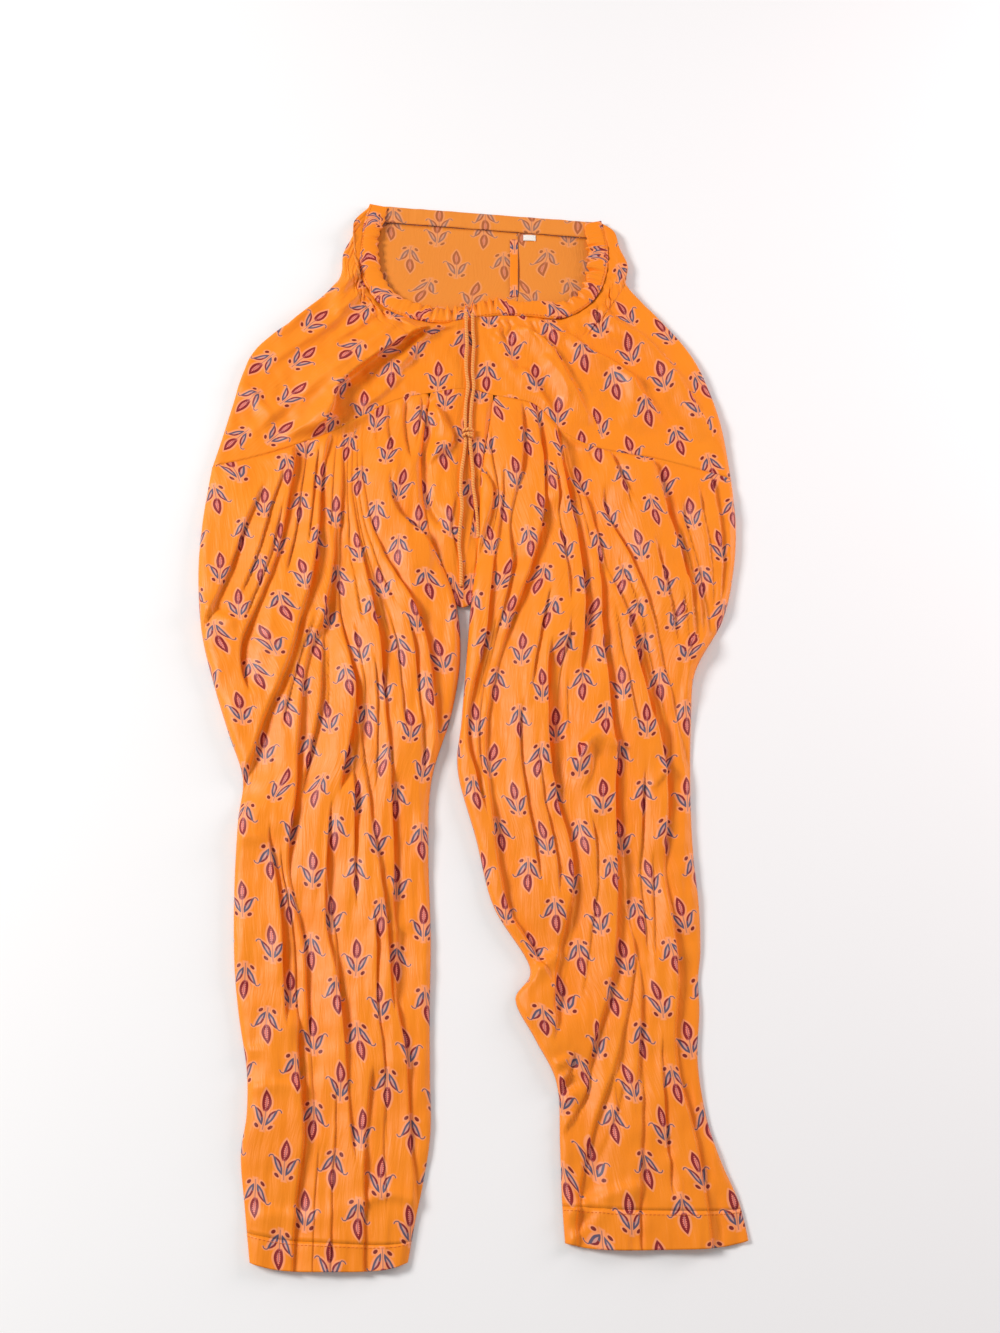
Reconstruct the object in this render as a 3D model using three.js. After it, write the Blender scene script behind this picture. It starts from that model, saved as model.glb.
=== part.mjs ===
// A patiala salwar laid flat on its back, seen from its front, as a three.js scene graph.
// Millimetres. +Y runs up to the waist, +X to the right as it is seen, +Z up from the surface.
// Left and right are the sides as they are seen. The origin is under the middle of the garment.
import * as THREE from 'three';

// Cloth and seams
const CLOTH = 1.2;
const DOUBLE_CLOTH = 2.4;
const SEAM_GAP = 0.4;
const BELT_SEAM_GAP = 0.8;
const CASING_SEAM_GAP = 1;
const LAYER_GAP = 0.3;
const BACK_INSET = 1.5;
const FRONT_UNDERSIDE = CLOTH + LAYER_GAP;
const FRONT_EDGE = FRONT_UNDERSIDE + CLOTH;

// The drawn-in waist
const CASING_WIDTH = 18;
const CASING_GATHERS = 22;
const CASING_HEIGHT = 4.2;
const CASING_END_HEIGHT = 1.5;
const CASING_END_LENGTH = 1.2;
const CASING_END_GAP = 0.012;
const GATHER_RISE = 3.2;
const GATHER_COLUMNS = 3;
const GATHER_AT_EDGE = 0.7;

// The hems
const HEM_DEPTH = 24;
const HEM_BOW = { left: 7, right: 6 };

// The drawstring
const CORD_DIAMETER = 3.2;
const CORD_SIDES = 8;

// The label and the pressed seam behind it
const LABEL = { x: 57, y: 451.6, width: 12, height: 7, thickness: 0.8 };
const ALLOWANCE = { width: 7.5, top: 450, bottom: 386, fromSeam: 0.6 };

// Colours of the printed cotton, its paler wrong side, the cord and the label
const COLOURS = { cloth: 0xff9928, inside: 0xeb9b4c, casing: 0xfa9224, cord: 0xf0861e, label: 0xf4efe6 };
const ROUGHNESS = 0.87;

// Where the belt of the salwar is sewn to the legs, from the left hip to the right hip
const YOKE_SEAM = [
  { x: -236, y: 203 }, { x: -202, y: 211 }, { x: -165, y: 223 }, { x: -129, y: 238 },
  { x: -97, y: 256.5 }, { x: -65, y: 273 }, { x: -36, y: 279 }, { x: -4, y: 284 },
  { x: 22, y: 277 }, { x: 36, y: 274.5 }, { x: 59, y: 268 }, { x: 76, y: 252 },
  { x: 89, y: 237 }, { x: 108, y: 226 }, { x: 129, y: 219 }, { x: 166, y: 212 },
  { x: 210, y: 200 }, { x: 240, y: 190 },
];
const SEAM_AT = { leftHip: 0, leftGusset: 6, centre: 7, rightGusset: 8, rightHip: 17 };

// The sides of the belt, from the waist down to the seam
const LEFT_HIP = [
  { x: -99, y: 489 }, { x: -114, y: 471 }, { x: -115, y: 453 }, { x: -124, y: 433 },
  { x: -128, y: 402 }, { x: -162, y: 364 }, { x: -200, y: 331 }, { x: -213, y: 303 },
  { x: -221, y: 268 }, { x: -229, y: 232 }, { x: -236, y: 203 },
];
const RIGHT_HIP = [
  { x: 128, y: 469 }, { x: 141, y: 458 }, { x: 146, y: 438 }, { x: 153, y: 420 },
  { x: 151, y: 398 }, { x: 167, y: 376 }, { x: 188, y: 351 }, { x: 209, y: 321 },
  { x: 223, y: 288 }, { x: 234, y: 245 }, { x: 240, y: 190 },
];

// The rim of the open waist, from the back round the left side, the front and the right side
const MOUTH = [
  { x: -81, y: 485 }, { x: -85, y: 467 }, { x: -88, y: 440 }, { x: -86, y: 408 },
  { x: -67, y: 383 }, { x: -30, y: 372 }, { x: 0, y: 376 }, { x: 28, y: 380 },
  { x: 57, y: 379 }, { x: 84, y: 377 }, { x: 104, y: 391 }, { x: 113, y: 414 },
  { x: 114, y: 440 }, { x: 109, y: 466 },
];
const MOUTH_AT = { backLeft: 0, frontLeft: 3.6, frontRight: 9.6, backRight: 13 };
const BACK_WAIST = { left: -80, right: 108, middle: 480, slope: -0.09 };
const CENTRE_BACK_SEAM = [
  { x: 46, y: 457 }, { x: 46, y: 415 }, { x: 44, y: 375 }, { x: 28, y: 330 }, { x: -4, y: 284 },
];

// The front rise seam, one point for each of the first five stations of the legs
const RISE_SEAM = [
  { x: -4, y: 284 }, { x: -2, y: 230 }, { x: 4, y: 172 }, { x: -2, y: 122 }, { x: -4.5, y: 72 },
];
const CROTCH_STATION = 4;

// Both legs, a row for each station from the belt to the hem: the outer and inner edge, the
// height of the heaped cloth between them and how far a fold bulges past the inner edge
const LEG_STATIONS = {
  left: [
    { outerX: -236, outerY: 203, innerX: -36, innerY: 279, heap: 2 },
    { outerX: -241, outerY: 150, innerX: -43, innerY: 215, heap: 3.1 },
    { outerX: -242, outerY: 100, innerX: -40, innerY: 165, heap: 3.4 },
    { outerX: -236, outerY: 45, innerX: -30, innerY: 125, heap: 3.4 },
    { outerX: -224, outerY: 0, innerX: -11, innerY: 72, heap: 3.4 },
    { outerX: -207, outerY: -50, innerX: -6.5, innerY: 18, heap: 3.1 },
    { outerX: -192, outerY: -92, innerX: -14, innerY: -35, heap: 3.1 },
    { outerX: -194, outerY: -130, innerX: -30, innerY: -93, heap: 2.7 },
    { outerX: -194, outerY: -185, innerX: -32, innerY: -155, heap: 2.7 },
    { outerX: -191, outerY: -245, innerX: -29, innerY: -230, heap: 2.4 },
    { outerX: -185, outerY: -290, innerX: -29, innerY: -290, heap: 2 },
    { outerX: -176, outerY: -335, innerX: -28, innerY: -340, heap: 2 },
    { outerX: -174, outerY: -370, innerX: -27, innerY: -385, heap: 1.7 },
    { outerX: -177, outerY: -402, innerX: -32, innerY: -422, heap: 1.4 },
    { outerX: -172, outerY: -440, innerX: -38, innerY: -452, heap: 1 },
    { outerX: -166, outerY: -482, innerX: -43, innerY: -482, heap: 0.7 },
  ],
  right: [
    { outerX: 240, outerY: 190, innerX: 22, innerY: 277, heap: 2 },
    { outerX: 242, outerY: 148, innerX: 12, innerY: 215, heap: 3.1 },
    { outerX: 238, outerY: 103, innerX: 9, innerY: 165, heap: 3.4 },
    { outerX: 226, outerY: 54, innerX: 7, innerY: 115, heap: 3.4 },
    { outerX: 200, outerY: 6, innerX: 2.5, innerY: 72, heap: 3.4 },
    { outerX: 194, outerY: -39, innerX: -1, innerY: 20, heap: 3.1 },
    { outerX: 191, outerY: -100, innerX: -5, innerY: -40, heap: 3.1 },
    { outerX: 191, outerY: -154, innerX: -8, innerY: -85, heap: 2.7 },
    { outerX: 194, outerY: -200, innerX: 8, innerY: -145, heap: 2.7 },
    { outerX: 194, outerY: -238, innerX: 23, innerY: -203, heap: 2.7 },
    { outerX: 191, outerY: -264, innerX: 37, innerY: -254, heap: 2.7, lobe: -16 },
    { outerX: 191, outerY: -290, innerX: 49, innerY: -280, heap: 2.4, lobe: 8 },
    { outerX: 188, outerY: -330, innerX: 61, innerY: -312, heap: 2.4, lobe: 4 },
    { outerX: 193, outerY: -372, innerX: 74, innerY: -347, heap: 2 },
    { outerX: 203, outerY: -406, innerX: 76, innerY: -395, heap: 1.4 },
    { outerX: 216, outerY: -438, innerX: 77, innerY: -435, heap: 1 },
    { outerX: 222, outerY: -466, innerX: 79, innerY: -468, heap: 0.7 },
  ],
};

// The pleats of each leg, a row each, from the outer edge (0) to the inner edge (1): where the
// crest runs at the seam, thigh, knee, shin and hem, how high it stands and where it fades out
const PLEATS = {
  left: [
    { seam: 0.07, thigh: 0.07, knee: 0.10, shin: 0.12, hem: 0.14, rise: 6, fades: 15 },
    { seam: 0.18, thigh: 0.18, knee: 0.23, shin: 0.23, hem: 0.27, rise: 9, fades: 15 },
    { seam: 0.29, thigh: 0.27, knee: 0.31, shin: 0.32, hem: 0.34, rise: 7, fades: 9 },
    { seam: 0.40, thigh: 0.36, knee: 0.39, shin: 0.39, hem: 0.44, rise: 10, fades: 15 },
    { seam: 0.49, thigh: 0.44, knee: 0.47, shin: 0.47, hem: 0.51, rise: 8, fades: 12 },
    { seam: 0.56, thigh: 0.52, knee: 0.55, shin: 0.56, hem: 0.60, rise: 9, fades: 15 },
    { seam: 0.63, thigh: 0.59, knee: 0.62, shin: 0.63, hem: 0.66, rise: 7, fades: 8 },
    { seam: 0.70, thigh: 0.66, knee: 0.69, shin: 0.70, hem: 0.74, rise: 10, fades: 15 },
    { seam: 0.77, thigh: 0.73, knee: 0.76, shin: 0.77, hem: 0.80, rise: 8, fades: 10 },
    { seam: 0.83, thigh: 0.80, knee: 0.83, shin: 0.84, hem: 0.86, rise: 9, fades: 15 },
    { seam: 0.89, thigh: 0.87, knee: 0.89, shin: 0.90, hem: 0.91, rise: 8, fades: 9 },
    { seam: 0.95, thigh: 0.945, knee: 0.95, shin: 0.955, hem: 0.96, rise: 9, fades: 15 },
  ],
  right: [
    { seam: 0.05, thigh: 0.06, knee: 0.05, shin: 0.07, hem: 0.09, rise: 6, fades: 16 },
    { seam: 0.13, thigh: 0.15, knee: 0.13, shin: 0.15, hem: 0.18, rise: 9, fades: 13 },
    { seam: 0.23, thigh: 0.25, knee: 0.24, shin: 0.26, hem: 0.32, rise: 8, fades: 14 },
    { seam: 0.33, thigh: 0.34, knee: 0.33, shin: 0.35, hem: 0.41, rise: 7, fades: 10 },
    { seam: 0.42, thigh: 0.42, knee: 0.41, shin: 0.44, hem: 0.49, rise: 10, fades: 15 },
    { seam: 0.50, thigh: 0.49, knee: 0.48, shin: 0.52, hem: 0.57, rise: 7, fades: 9 },
    { seam: 0.57, thigh: 0.56, knee: 0.56, shin: 0.59, hem: 0.63, rise: 9, fades: 14 },
    { seam: 0.64, thigh: 0.63, knee: 0.63, shin: 0.66, hem: 0.70, rise: 8, fades: 9 },
    { seam: 0.71, thigh: 0.71, knee: 0.71, shin: 0.73, hem: 0.76, rise: 10, fades: 16 },
    { seam: 0.79, thigh: 0.79, knee: 0.79, shin: 0.80, hem: 0.82, rise: 8, fades: 11 },
    { seam: 0.87, thigh: 0.87, knee: 0.87, shin: 0.88, hem: 0.89, rise: 9, fades: 15 },
    { seam: 0.95, thigh: 0.95, knee: 0.95, shin: 0.95, hem: 0.95, rise: 8, fades: 16 },
  ],
};
const PLEAT_STATIONS = { thigh: 4, knee: 7, shin: 10.5 };

// The section of a pleat, as shares of the way to its neighbours and of its height, and how its
// height grows below the belt, softens towards the hem and fades out at its end
const PLEAT_SECTION = { firstValley: 0.3, valley: 0.55, shoulder: 0.22, shoulderHeight: 0.8 };
const PLEAT_HEIGHT = { atBelt: 0.45, grown: 2, softens: 5, atHem: 0.3, fadeLength: 4, faded: 0.1 };

// The rounded section of the heaped cloth on a leg
const CROWN = { edge: 0.12, power: 0.6, besideEdge: 0.55 };

// How far down the legs the slant of the belt's seam lasts, where across a leg a bulging fold
// starts, and how far above the hem its bow starts, in stations
const SEAM_SLANT = 3;
const LOBE_FROM = 0.6;
const BOW_STATIONS = 1.5;

// The longest rows of the fronts and backs of the legs
const FRONT_ROW = 34;
const BACK_ROW = 40;

// The front of the belt: its grid, its height between the folds, the gathers below the casing
// and the dip of the folds at the seam
const BELT_GRID = { rows: 12, columns: 46 };
const BELT_HEAP = 3.2;
const BELT_EDGE_POWER = 0.4;
const BELT_GATHER = { rise: 1.4, fades: 0.7 };
const BELT_DIP = { from: 0.85, share: 0.5 };

// The backs of the belt start a little down each hip
const BACK_HIP_START = { left: 1, right: 1.5 };
const BACK_ROWS = 9;

// The large folds of the belt, a row each: a ridge line, its height and its half width
const BELT_FOLDS = [
  { fromX: -20, fromY: 350, toX: -118, toY: 300, rise: 9, width: 15 },
  { fromX: -118, fromY: 302, toX: -124, toY: 246, rise: 9, width: 13 },
  { fromX: -92, fromY: 350, toX: -176, toY: 318, rise: 5, width: 10 },
  { fromX: -124, fromY: 388, toX: -206, toY: 270, rise: 4, width: 12 },
  { fromX: -60, fromY: 350, toX: -150, toY: 256, rise: 4, width: 8 },
  { fromX: -14, fromY: 352, toX: -10, toY: 290, rise: 5, width: 10 },
  { fromX: 22, fromY: 352, toX: 46, toY: 284, rise: 6, width: 11 },
  { fromX: 60, fromY: 350, toX: 84, toY: 262, rise: 8, width: 12 },
  { fromX: 92, fromY: 352, toX: 128, toY: 236, rise: 6, width: 11 },
  { fromX: 112, fromY: 362, toX: 176, toY: 232, rise: 6, width: 12 },
  { fromX: 134, fromY: 384, toX: 214, toY: 236, rise: 5, width: 11 },
];

// The folds of cloth over the crotch, and the rounded section of the gussets
const GUSSET_FOLDS = [
  { fromX: -36, fromY: 276, toX: -15, toY: 249, rise: 5, width: 6 },
  { fromX: -15, fromY: 249, toX: -40, toY: 208, rise: 4, width: 7 },
  { fromX: -4, fromY: 200, toX: -16, toY: 120, rise: 3, width: 5 },
];
const GUSSET_HEAP = { top: 3.8, bottom: 1.6, power: 0.6, width: 0.6 };
const GUSSET_COLUMNS = { left: 8, right: 5 };

// The routes of the drawstring, chosen by hand along the top of the cloth
const CORD_ROUTES = {
  drawstring_left_upper: [
    [-3.5, 362, 12.6], [-3.5, 354, 11.4], [-3.3, 343, 11.2], [-2.6, 330, 10.4], [-3.4, 315, 10.9],
    [-3.0, 300, 11.0], [-1.4, 285, 9.6], [-3.0, 270, 8.4], [-3.8, 255, 8.4], [-3.4, 240.6, 9.0],
  ],
  drawstring_right_upper: [
    [2.5, 362, 11.5], [2.7, 354, 10.6], [2.9, 343, 10.2], [3.8, 330, 9.2], [3.2, 315, 9.2],
    [2.8, 300, 9.8], [4.0, 285, 9.0], [2.4, 270, 8.4], [1.4, 255, 8.4], [1.2, 240.6, 9.0],
  ],
  drawstring_left_tail: [
    [-3.2, 228.3, 9.0], [-4.6, 214, 8.0], [-6.8, 196, 8.6], [-7.2, 178, 9.9], [-6.0, 160, 9.6],
    [-7.4, 142, 9.1], [-8.2, 124, 8.0], [-6.6, 106, 7.2], [-6.0, 84, 6.7],
  ],
  drawstring_right_tail: [
    [1.0, 228.3, 9.0], [2.2, 214, 7.9], [3.6, 198, 7.6], [4.2, 182, 7.4], [6.4, 166, 7.5],
    [8.0, 150, 7.6], [9.2, 131, 8.0],
  ],
};
const KNOT = { x: -1.2, y: 234.5, z: 9.7, width: 11, height: 11.4, depth: 6.8, endShare: 0.8, sides: 10 };

const lerp = THREE.MathUtils.lerp;
const ease = THREE.MathUtils.smoothstep;

// Value at a position along a row of numbers, joined by a smooth curve
function smooth(values, position) {
  const i = Math.min(Math.max(Math.floor(position), 0), values.length - 2);
  const u = position - i;
  const a = values[Math.max(i - 1, 0)];
  const b = values[i];
  const c = values[i + 1];
  const d = values[Math.min(i + 2, values.length - 1)];
  const bend = 2 * a - 5 * b + 4 * c - d + u * (3 * (b - c) + d - a);
  return b + 0.5 * u * (c - a + u * bend);
}

// Point at a position along a line of named points
function pointOn(line, position) {
  const x = smooth(line.map((point) => point.x), position);
  const y = smooth(line.map((point) => point.y), position);
  return new THREE.Vector2(x, y);
}

// A line moved sideways, to the left of its direction
function offsetPoint(line, position, distance) {
  const step = 0.05;
  const last = line.length - 1;
  const ahead = pointOn(line, Math.min(position + step, last));
  const behind = pointOn(line, Math.max(position - step, 0));
  const along = ahead.sub(behind).normalize();
  return pointOn(line, position).add(new THREE.Vector2(-along.y, along.x).multiplyScalar(distance));
}

// Point of a falling line at a fraction of its fall, from a starting position
function pointDown(line, start, fraction) {
  const last = line.length - 1;
  const height = lerp(pointOn(line, start).y, line[last].y, fraction);
  let above = start;
  let below = last;
  for (let halving = 0; halving < 24; halving += 1) {
    const middle = 0.5 * (above + below);
    if (pointOn(line, middle).y > height) above = middle;
    else below = middle;
  }
  return pointOn(line, below);
}

// A closed wall of cloth. The outer face is a grid of points from outerAt(row, column), and the
// inner face lies the thickness of the cloth behind it, straight down along the four edges.
function wall(name, rows, columns, outerAt, colour, thickness = CLOTH) {
  const outer = [];
  for (let r = 0; r < rows; r += 1) {
    for (let c = 0; c < columns; c += 1) outer.push(outerAt(r, c));
  }
  const at = (r, c) => outer[r * columns + c];
  const positions = [];
  outer.forEach((point) => positions.push(point.x, point.y, point.z));
  for (let r = 0; r < rows; r += 1) {
    for (let c = 0; c < columns; c += 1) {
      const normal = new THREE.Vector3(0, 0, 1);
      if (r > 0 && r < rows - 1 && c > 0 && c < columns - 1) {
        const across = at(r, c + 1).clone().sub(at(r, c - 1));
        const down = at(r + 1, c).clone().sub(at(r - 1, c));
        normal.crossVectors(across, down).normalize();
        if (normal.z < 0) normal.negate();
      }
      const point = at(r, c);
      const sink = Math.max(thickness * normal.z, thickness * 0.5);
      positions.push(point.x - thickness * normal.x, point.y - thickness * normal.y, point.z - sink);
    }
  }
  const inner = rows * columns;
  const faces = [];
  const quad = (a, b, c, d) => faces.push(a, b, c, a, c, d);
  for (let r = 0; r < rows - 1; r += 1) {
    for (let c = 0; c < columns - 1; c += 1) {
      const a = r * columns + c;
      quad(a, a + columns, a + columns + 1, a + 1);
      quad(inner + a, inner + a + 1, inner + a + columns + 1, inner + a + columns);
    }
  }
  const rim = [];
  for (let c = 0; c < columns - 1; c += 1) rim.push(c);
  for (let r = 0; r < rows - 1; r += 1) rim.push(r * columns + columns - 1);
  for (let c = columns - 1; c > 0; c -= 1) rim.push((rows - 1) * columns + c);
  for (let r = rows - 1; r > 0; r -= 1) rim.push(r * columns);
  rim.forEach((a, i) => {
    const b = rim[(i + 1) % rim.length];
    quad(a, b, inner + b, inner + a);
  });
  return solid(name, positions, faces, colour);
}

// The dull finish of cotton
function cotton(colour) {
  return new THREE.MeshStandardMaterial({ color: colour, roughness: ROUGHNESS, metalness: 0 });
}

// A named mesh whose faces point outwards
function solid(name, positions, faces, colour) {
  const corner = (i) => new THREE.Vector3().fromArray(positions, 3 * i);
  let volume = 0;
  for (let i = 0; i < faces.length; i += 3) {
    volume += corner(faces[i]).dot(corner(faces[i + 1]).cross(corner(faces[i + 2])));
  }
  const indices = volume > 0 ? faces : faces.slice().reverse();
  const geometry = new THREE.BufferGeometry();
  geometry.setAttribute('position', new THREE.Float32BufferAttribute(positions, 3));
  geometry.setIndex(indices);
  geometry.computeVertexNormals();
  const mesh = new THREE.Mesh(geometry, cotton(colour));
  mesh.name = name;
  return mesh;
}

// Height that a table of folds adds at a point
function foldHeight(folds, x, y) {
  let height = 0;
  folds.forEach((fold) => {
    const line = new THREE.Line3(
      new THREE.Vector3(fold.fromX, fold.fromY, 0),
      new THREE.Vector3(fold.toX, fold.toY, 0),
    );
    const point = new THREE.Vector3(x, y, 0);
    const away = line.closestPointToPoint(point, true, new THREE.Vector3()).distanceTo(point);
    height = Math.max(height, fold.rise * Math.exp(-((away / fold.width) ** 2)));
  });
  return height;
}

// Inner edge of a leg at a station. A leg's back reaches the rise seam above the crotch.
function innerEdge(side, station, isBack) {
  if (isBack && station < CROTCH_STATION) return pointOn(RISE_SEAM, station);
  const stations = LEG_STATIONS[side];
  return new THREE.Vector2(
    smooth(stations.map((row) => row.innerX), station),
    smooth(stations.map((row) => row.innerY), station),
  );
}

// Plan position of a point on a leg, at a station and a fraction across from outer to inner edge
function legPlan(side, station, across, inset, isBack = false) {
  const stations = LEG_STATIONS[side];
  const straight = (place) => new THREE.Vector2(
    smooth(stations.map((row) => row.outerX), place),
    smooth(stations.map((row) => row.outerY), place),
  ).lerp(innerEdge(side, place, isBack), across);
  const point = straight(station);
  const hip = side === 'left' ? SEAM_AT.leftHip : SEAM_AT.rightHip;
  const gusset = side === 'left' ? SEAM_AT.leftGusset : SEAM_AT.rightGusset;
  const inner = isBack ? SEAM_AT.centre : gusset;
  const seam = pointOn(YOKE_SEAM, lerp(hip, inner, across));
  const follow = 1 - ease(station, 0, SEAM_SLANT);
  point.add(seam.sub(straight(0)).multiplyScalar(follow));
  const last = stations.length - 1;
  const lobe = smooth(stations.map((row) => row.lobe || 0), station);
  point.x -= lobe * ease(across, LOBE_FROM, 1);
  const toHem = ease(station, last - BOW_STATIONS, last);
  point.y -= HEM_BOW[side] * toHem * (1 - (2 * across - 1) ** 4);
  const inwards = side === 'left' ? 1 : -1;
  point.x += inwards * inset * (1 - 2 * across);
  return point;
}

// Where a pleat's crest runs, as a fraction across the leg at a station
function crestAt(side, pleat, station) {
  const last = LEG_STATIONS[side].length - 1;
  const { thigh, knee, shin } = PLEAT_STATIONS;
  if (station < thigh) return lerp(pleat.seam, pleat.thigh, station / thigh);
  if (station < knee) return lerp(pleat.thigh, pleat.knee, (station - thigh) / (knee - thigh));
  if (station < shin) return lerp(pleat.knee, pleat.shin, (station - knee) / (shin - knee));
  return lerp(pleat.shin, pleat.hem, (station - shin) / (last - shin));
}

// How high a pleat stands at a station
function crestHeight(side, pleat, station) {
  const last = LEG_STATIONS[side].length - 1;
  const { atBelt, grown, softens, atHem, fadeLength, faded } = PLEAT_HEIGHT;
  const start = lerp(atBelt, 1, ease(station, 0, grown));
  const softer = lerp(1, atHem, ease(station, softens, last));
  const fade = lerp(1, faded, ease(station, pleat.fades - fadeLength, pleat.fades));
  return pleat.rise * start * softer * fade;
}

// The columns of a leg's front at a station: a valley, a crest and a shoulder for each pleat,
// with the share of the crest's height that each has
function legColumns(side, station) {
  const pleats = PLEATS[side];
  const crests = pleats.map((pleat) => crestAt(side, pleat, station));
  const columns = [{ across: 0, height: 0, heap: 0 }];
  pleats.forEach((pleat, i) => {
    const before = i === 0 ? 0 : crests[i - 1];
    const after = i === pleats.length - 1 ? 1 : crests[i + 1];
    const { firstValley, valley: nextValley, shoulderHeight } = PLEAT_SECTION;
    const valley = lerp(before, crests[i], i === 0 ? firstValley : nextValley);
    const shoulder = lerp(crests[i], after, PLEAT_SECTION.shoulder);
    const rise = crestHeight(side, pleat, station);
    const heap = i === 0 ? CROWN.besideEdge : 1;
    columns.push({ across: valley, height: 0, heap });
    columns.push({ across: crests[i], height: rise, heap: 1 });
    columns.push({ across: shoulder, height: shoulderHeight * rise, heap: 1 });
  });
  columns.push({ across: 1, height: 0, heap: 0 });
  return columns;
}

// Outer face of a leg's front
function legFrontPoint(side, station, column) {
  const { across, height, heap } = legColumns(side, station)[column];
  const plan = legPlan(side, station, across, 0.5 * SEAM_GAP);
  const heaps = LEG_STATIONS[side].map((row) => row.heap);
  const crown = Math.sin(Math.PI * lerp(CROWN.edge, 1 - CROWN.edge, across)) ** CROWN.power;
  const z = FRONT_EDGE + heap * smooth(heaps, station) * crown + height;
  return new THREE.Vector3(plan.x, plan.y, z);
}

// Stations that the rows of a panel take, with more rows where stations lie far apart
function rowStations(side, from, to, longest) {
  const stations = LEG_STATIONS[side];
  const rows = [];
  for (let i = Math.floor(from); i < to; i += 1) {
    const start = Math.max(i, from);
    const end = Math.min(i + 1, to);
    const length = Math.abs(stations[i + 1].outerY - stations[i].outerY) * (end - start);
    const steps = Math.max(1, Math.round(length / longest));
    for (let k = 0; k < steps; k += 1) rows.push(lerp(start, end, k / steps));
  }
  rows.push(to);
  return rows;
}

// Station where the turned hem starts
function hemStation(side) {
  const stations = LEG_STATIONS[side];
  const last = stations.length - 1;
  return last - HEM_DEPTH / (stations[last - 1].outerY - stations[last].outerY);
}

// The seams at the top and bottom of a leg, opened by their gaps
function seamShift(point, rowsFromTop, rowsFromBottom) {
  if (rowsFromTop === 0) point.y -= 0.5 * BELT_SEAM_GAP;
  if (rowsFromBottom === 0) point.y += 0.5 * SEAM_GAP;
  return point;
}

function legFront(side) {
  const rows = rowStations(side, 0, hemStation(side), FRONT_ROW);
  const columns = legColumns(side, 0).length;
  const last = rows.length - 1;
  const outerAt = (r, c) => seamShift(legFrontPoint(side, rows[r], c), r, last - r);
  return wall(`leg_${side}_front`, rows.length, columns, outerAt, COLOURS.cloth);
}

function hemFront(side) {
  const start = hemStation(side);
  const end = LEG_STATIONS[side].length - 1;
  const rows = [start, lerp(start, end, 0.5), end];
  const columns = legColumns(side, 0).length;
  const extra = DOUBLE_CLOTH - CLOTH;
  const outerAt = (r, c) => {
    const point = legFrontPoint(side, rows[r], c);
    point.z += extra;
    if (r === 0) point.y -= 0.5 * SEAM_GAP;
    return point;
  };
  return wall(`hem_${side}_front`, rows.length, columns, outerAt, COLOURS.cloth, DOUBLE_CLOTH);
}

// The back of a leg lies flat, inside the outline of its front
function legBackPoint(side, station, across) {
  const inwards = side === 'left' ? 1 : -1;
  const innerInset = station < CROTCH_STATION ? 0.5 * SEAM_GAP : BACK_INSET;
  const plan = legPlan(side, station, across, 0, true);
  plan.x += inwards * lerp(BACK_INSET, -innerInset, across);
  return new THREE.Vector3(plan.x, plan.y, CLOTH);
}

// Columns of a back panel, one for each point of the belt's seam above it
function backColumns(side) {
  const hip = side === 'left' ? SEAM_AT.leftHip : SEAM_AT.rightHip;
  return Math.abs(hip - SEAM_AT.centre) + 1;
}

function legBack(side) {
  const rows = rowStations(side, 0, hemStation(side), BACK_ROW);
  const columns = backColumns(side);
  const last = rows.length - 1;
  const outerAt = (r, c) => {
    const point = legBackPoint(side, rows[r], c / (columns - 1));
    return seamShift(point, r, last - r);
  };
  return wall(`leg_${side}_back`, rows.length, columns, outerAt, COLOURS.cloth);
}

function hemBack(side) {
  const start = hemStation(side);
  const end = LEG_STATIONS[side].length - 1;
  const columns = backColumns(side);
  const outerAt = (r, c) => {
    const point = legBackPoint(side, lerp(start, end, r / 2), c / (columns - 1));
    if (r === 0) point.y -= 0.5 * SEAM_GAP;
    return point;
  };
  return wall(`hem_${side}_back`, 3, columns, outerAt, COLOURS.cloth);
}

// The gussets over the crotch lie lower than the pleats beside them
function gusset(side) {
  const stations = rowStations('left', 0, CROTCH_STATION, FRONT_ROW);
  const columns = GUSSET_COLUMNS[side];
  const centre = SEAM_AT.centre;
  const edge = side === 'left' ? SEAM_AT.leftGusset : SEAM_AT.rightGusset;
  const towards = side === 'left' ? 1 : -1;
  const outerAt = (r, c) => {
    const station = stations[r];
    const across = c / (columns - 1);
    const leg = legPlan(side, station, 1, 0);
    leg.x += towards * 0.5 * SEAM_GAP;
    const rise = pointOn(RISE_SEAM, station);
    rise.x -= towards * 0.5 * SEAM_GAP;
    const plan = leg.lerp(rise, across);
    const seam = pointOn(YOKE_SEAM, lerp(edge, centre, across));
    const follow = Math.max(1 - r, 0);
    plan.y = lerp(plan.y, seam.y - 0.5 * BELT_SEAM_GAP, follow);
    const swell = Math.sin(GUSSET_HEAP.width * Math.PI * across);
    const folds = foldHeight(GUSSET_FOLDS, plan.x, plan.y) * ease(swell, 0, 0.5);
    const heap = lerp(GUSSET_HEAP.top, GUSSET_HEAP.bottom, station / CROTCH_STATION);
    const z = FRONT_EDGE + heap * swell ** GUSSET_HEAP.power + folds;
    return new THREE.Vector3(plan.x, plan.y, z);
  };
  return wall(`gusset_${side}`, stations.length, columns, outerAt, COLOURS.cloth);
}

// A patch of cloth between four curves, each a function from 0 to 1
function patch(top, bottom, left, right, s, t) {
  const point = top(s).multiplyScalar(1 - t).add(bottom(s).multiplyScalar(t));
  const leftBend = left(t).sub(left(0).lerp(left(1), t));
  const rightBend = right(t).sub(right(0).lerp(right(1), t));
  return point.add(leftBend.multiplyScalar(1 - s)).add(rightBend.multiplyScalar(s));
}

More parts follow.
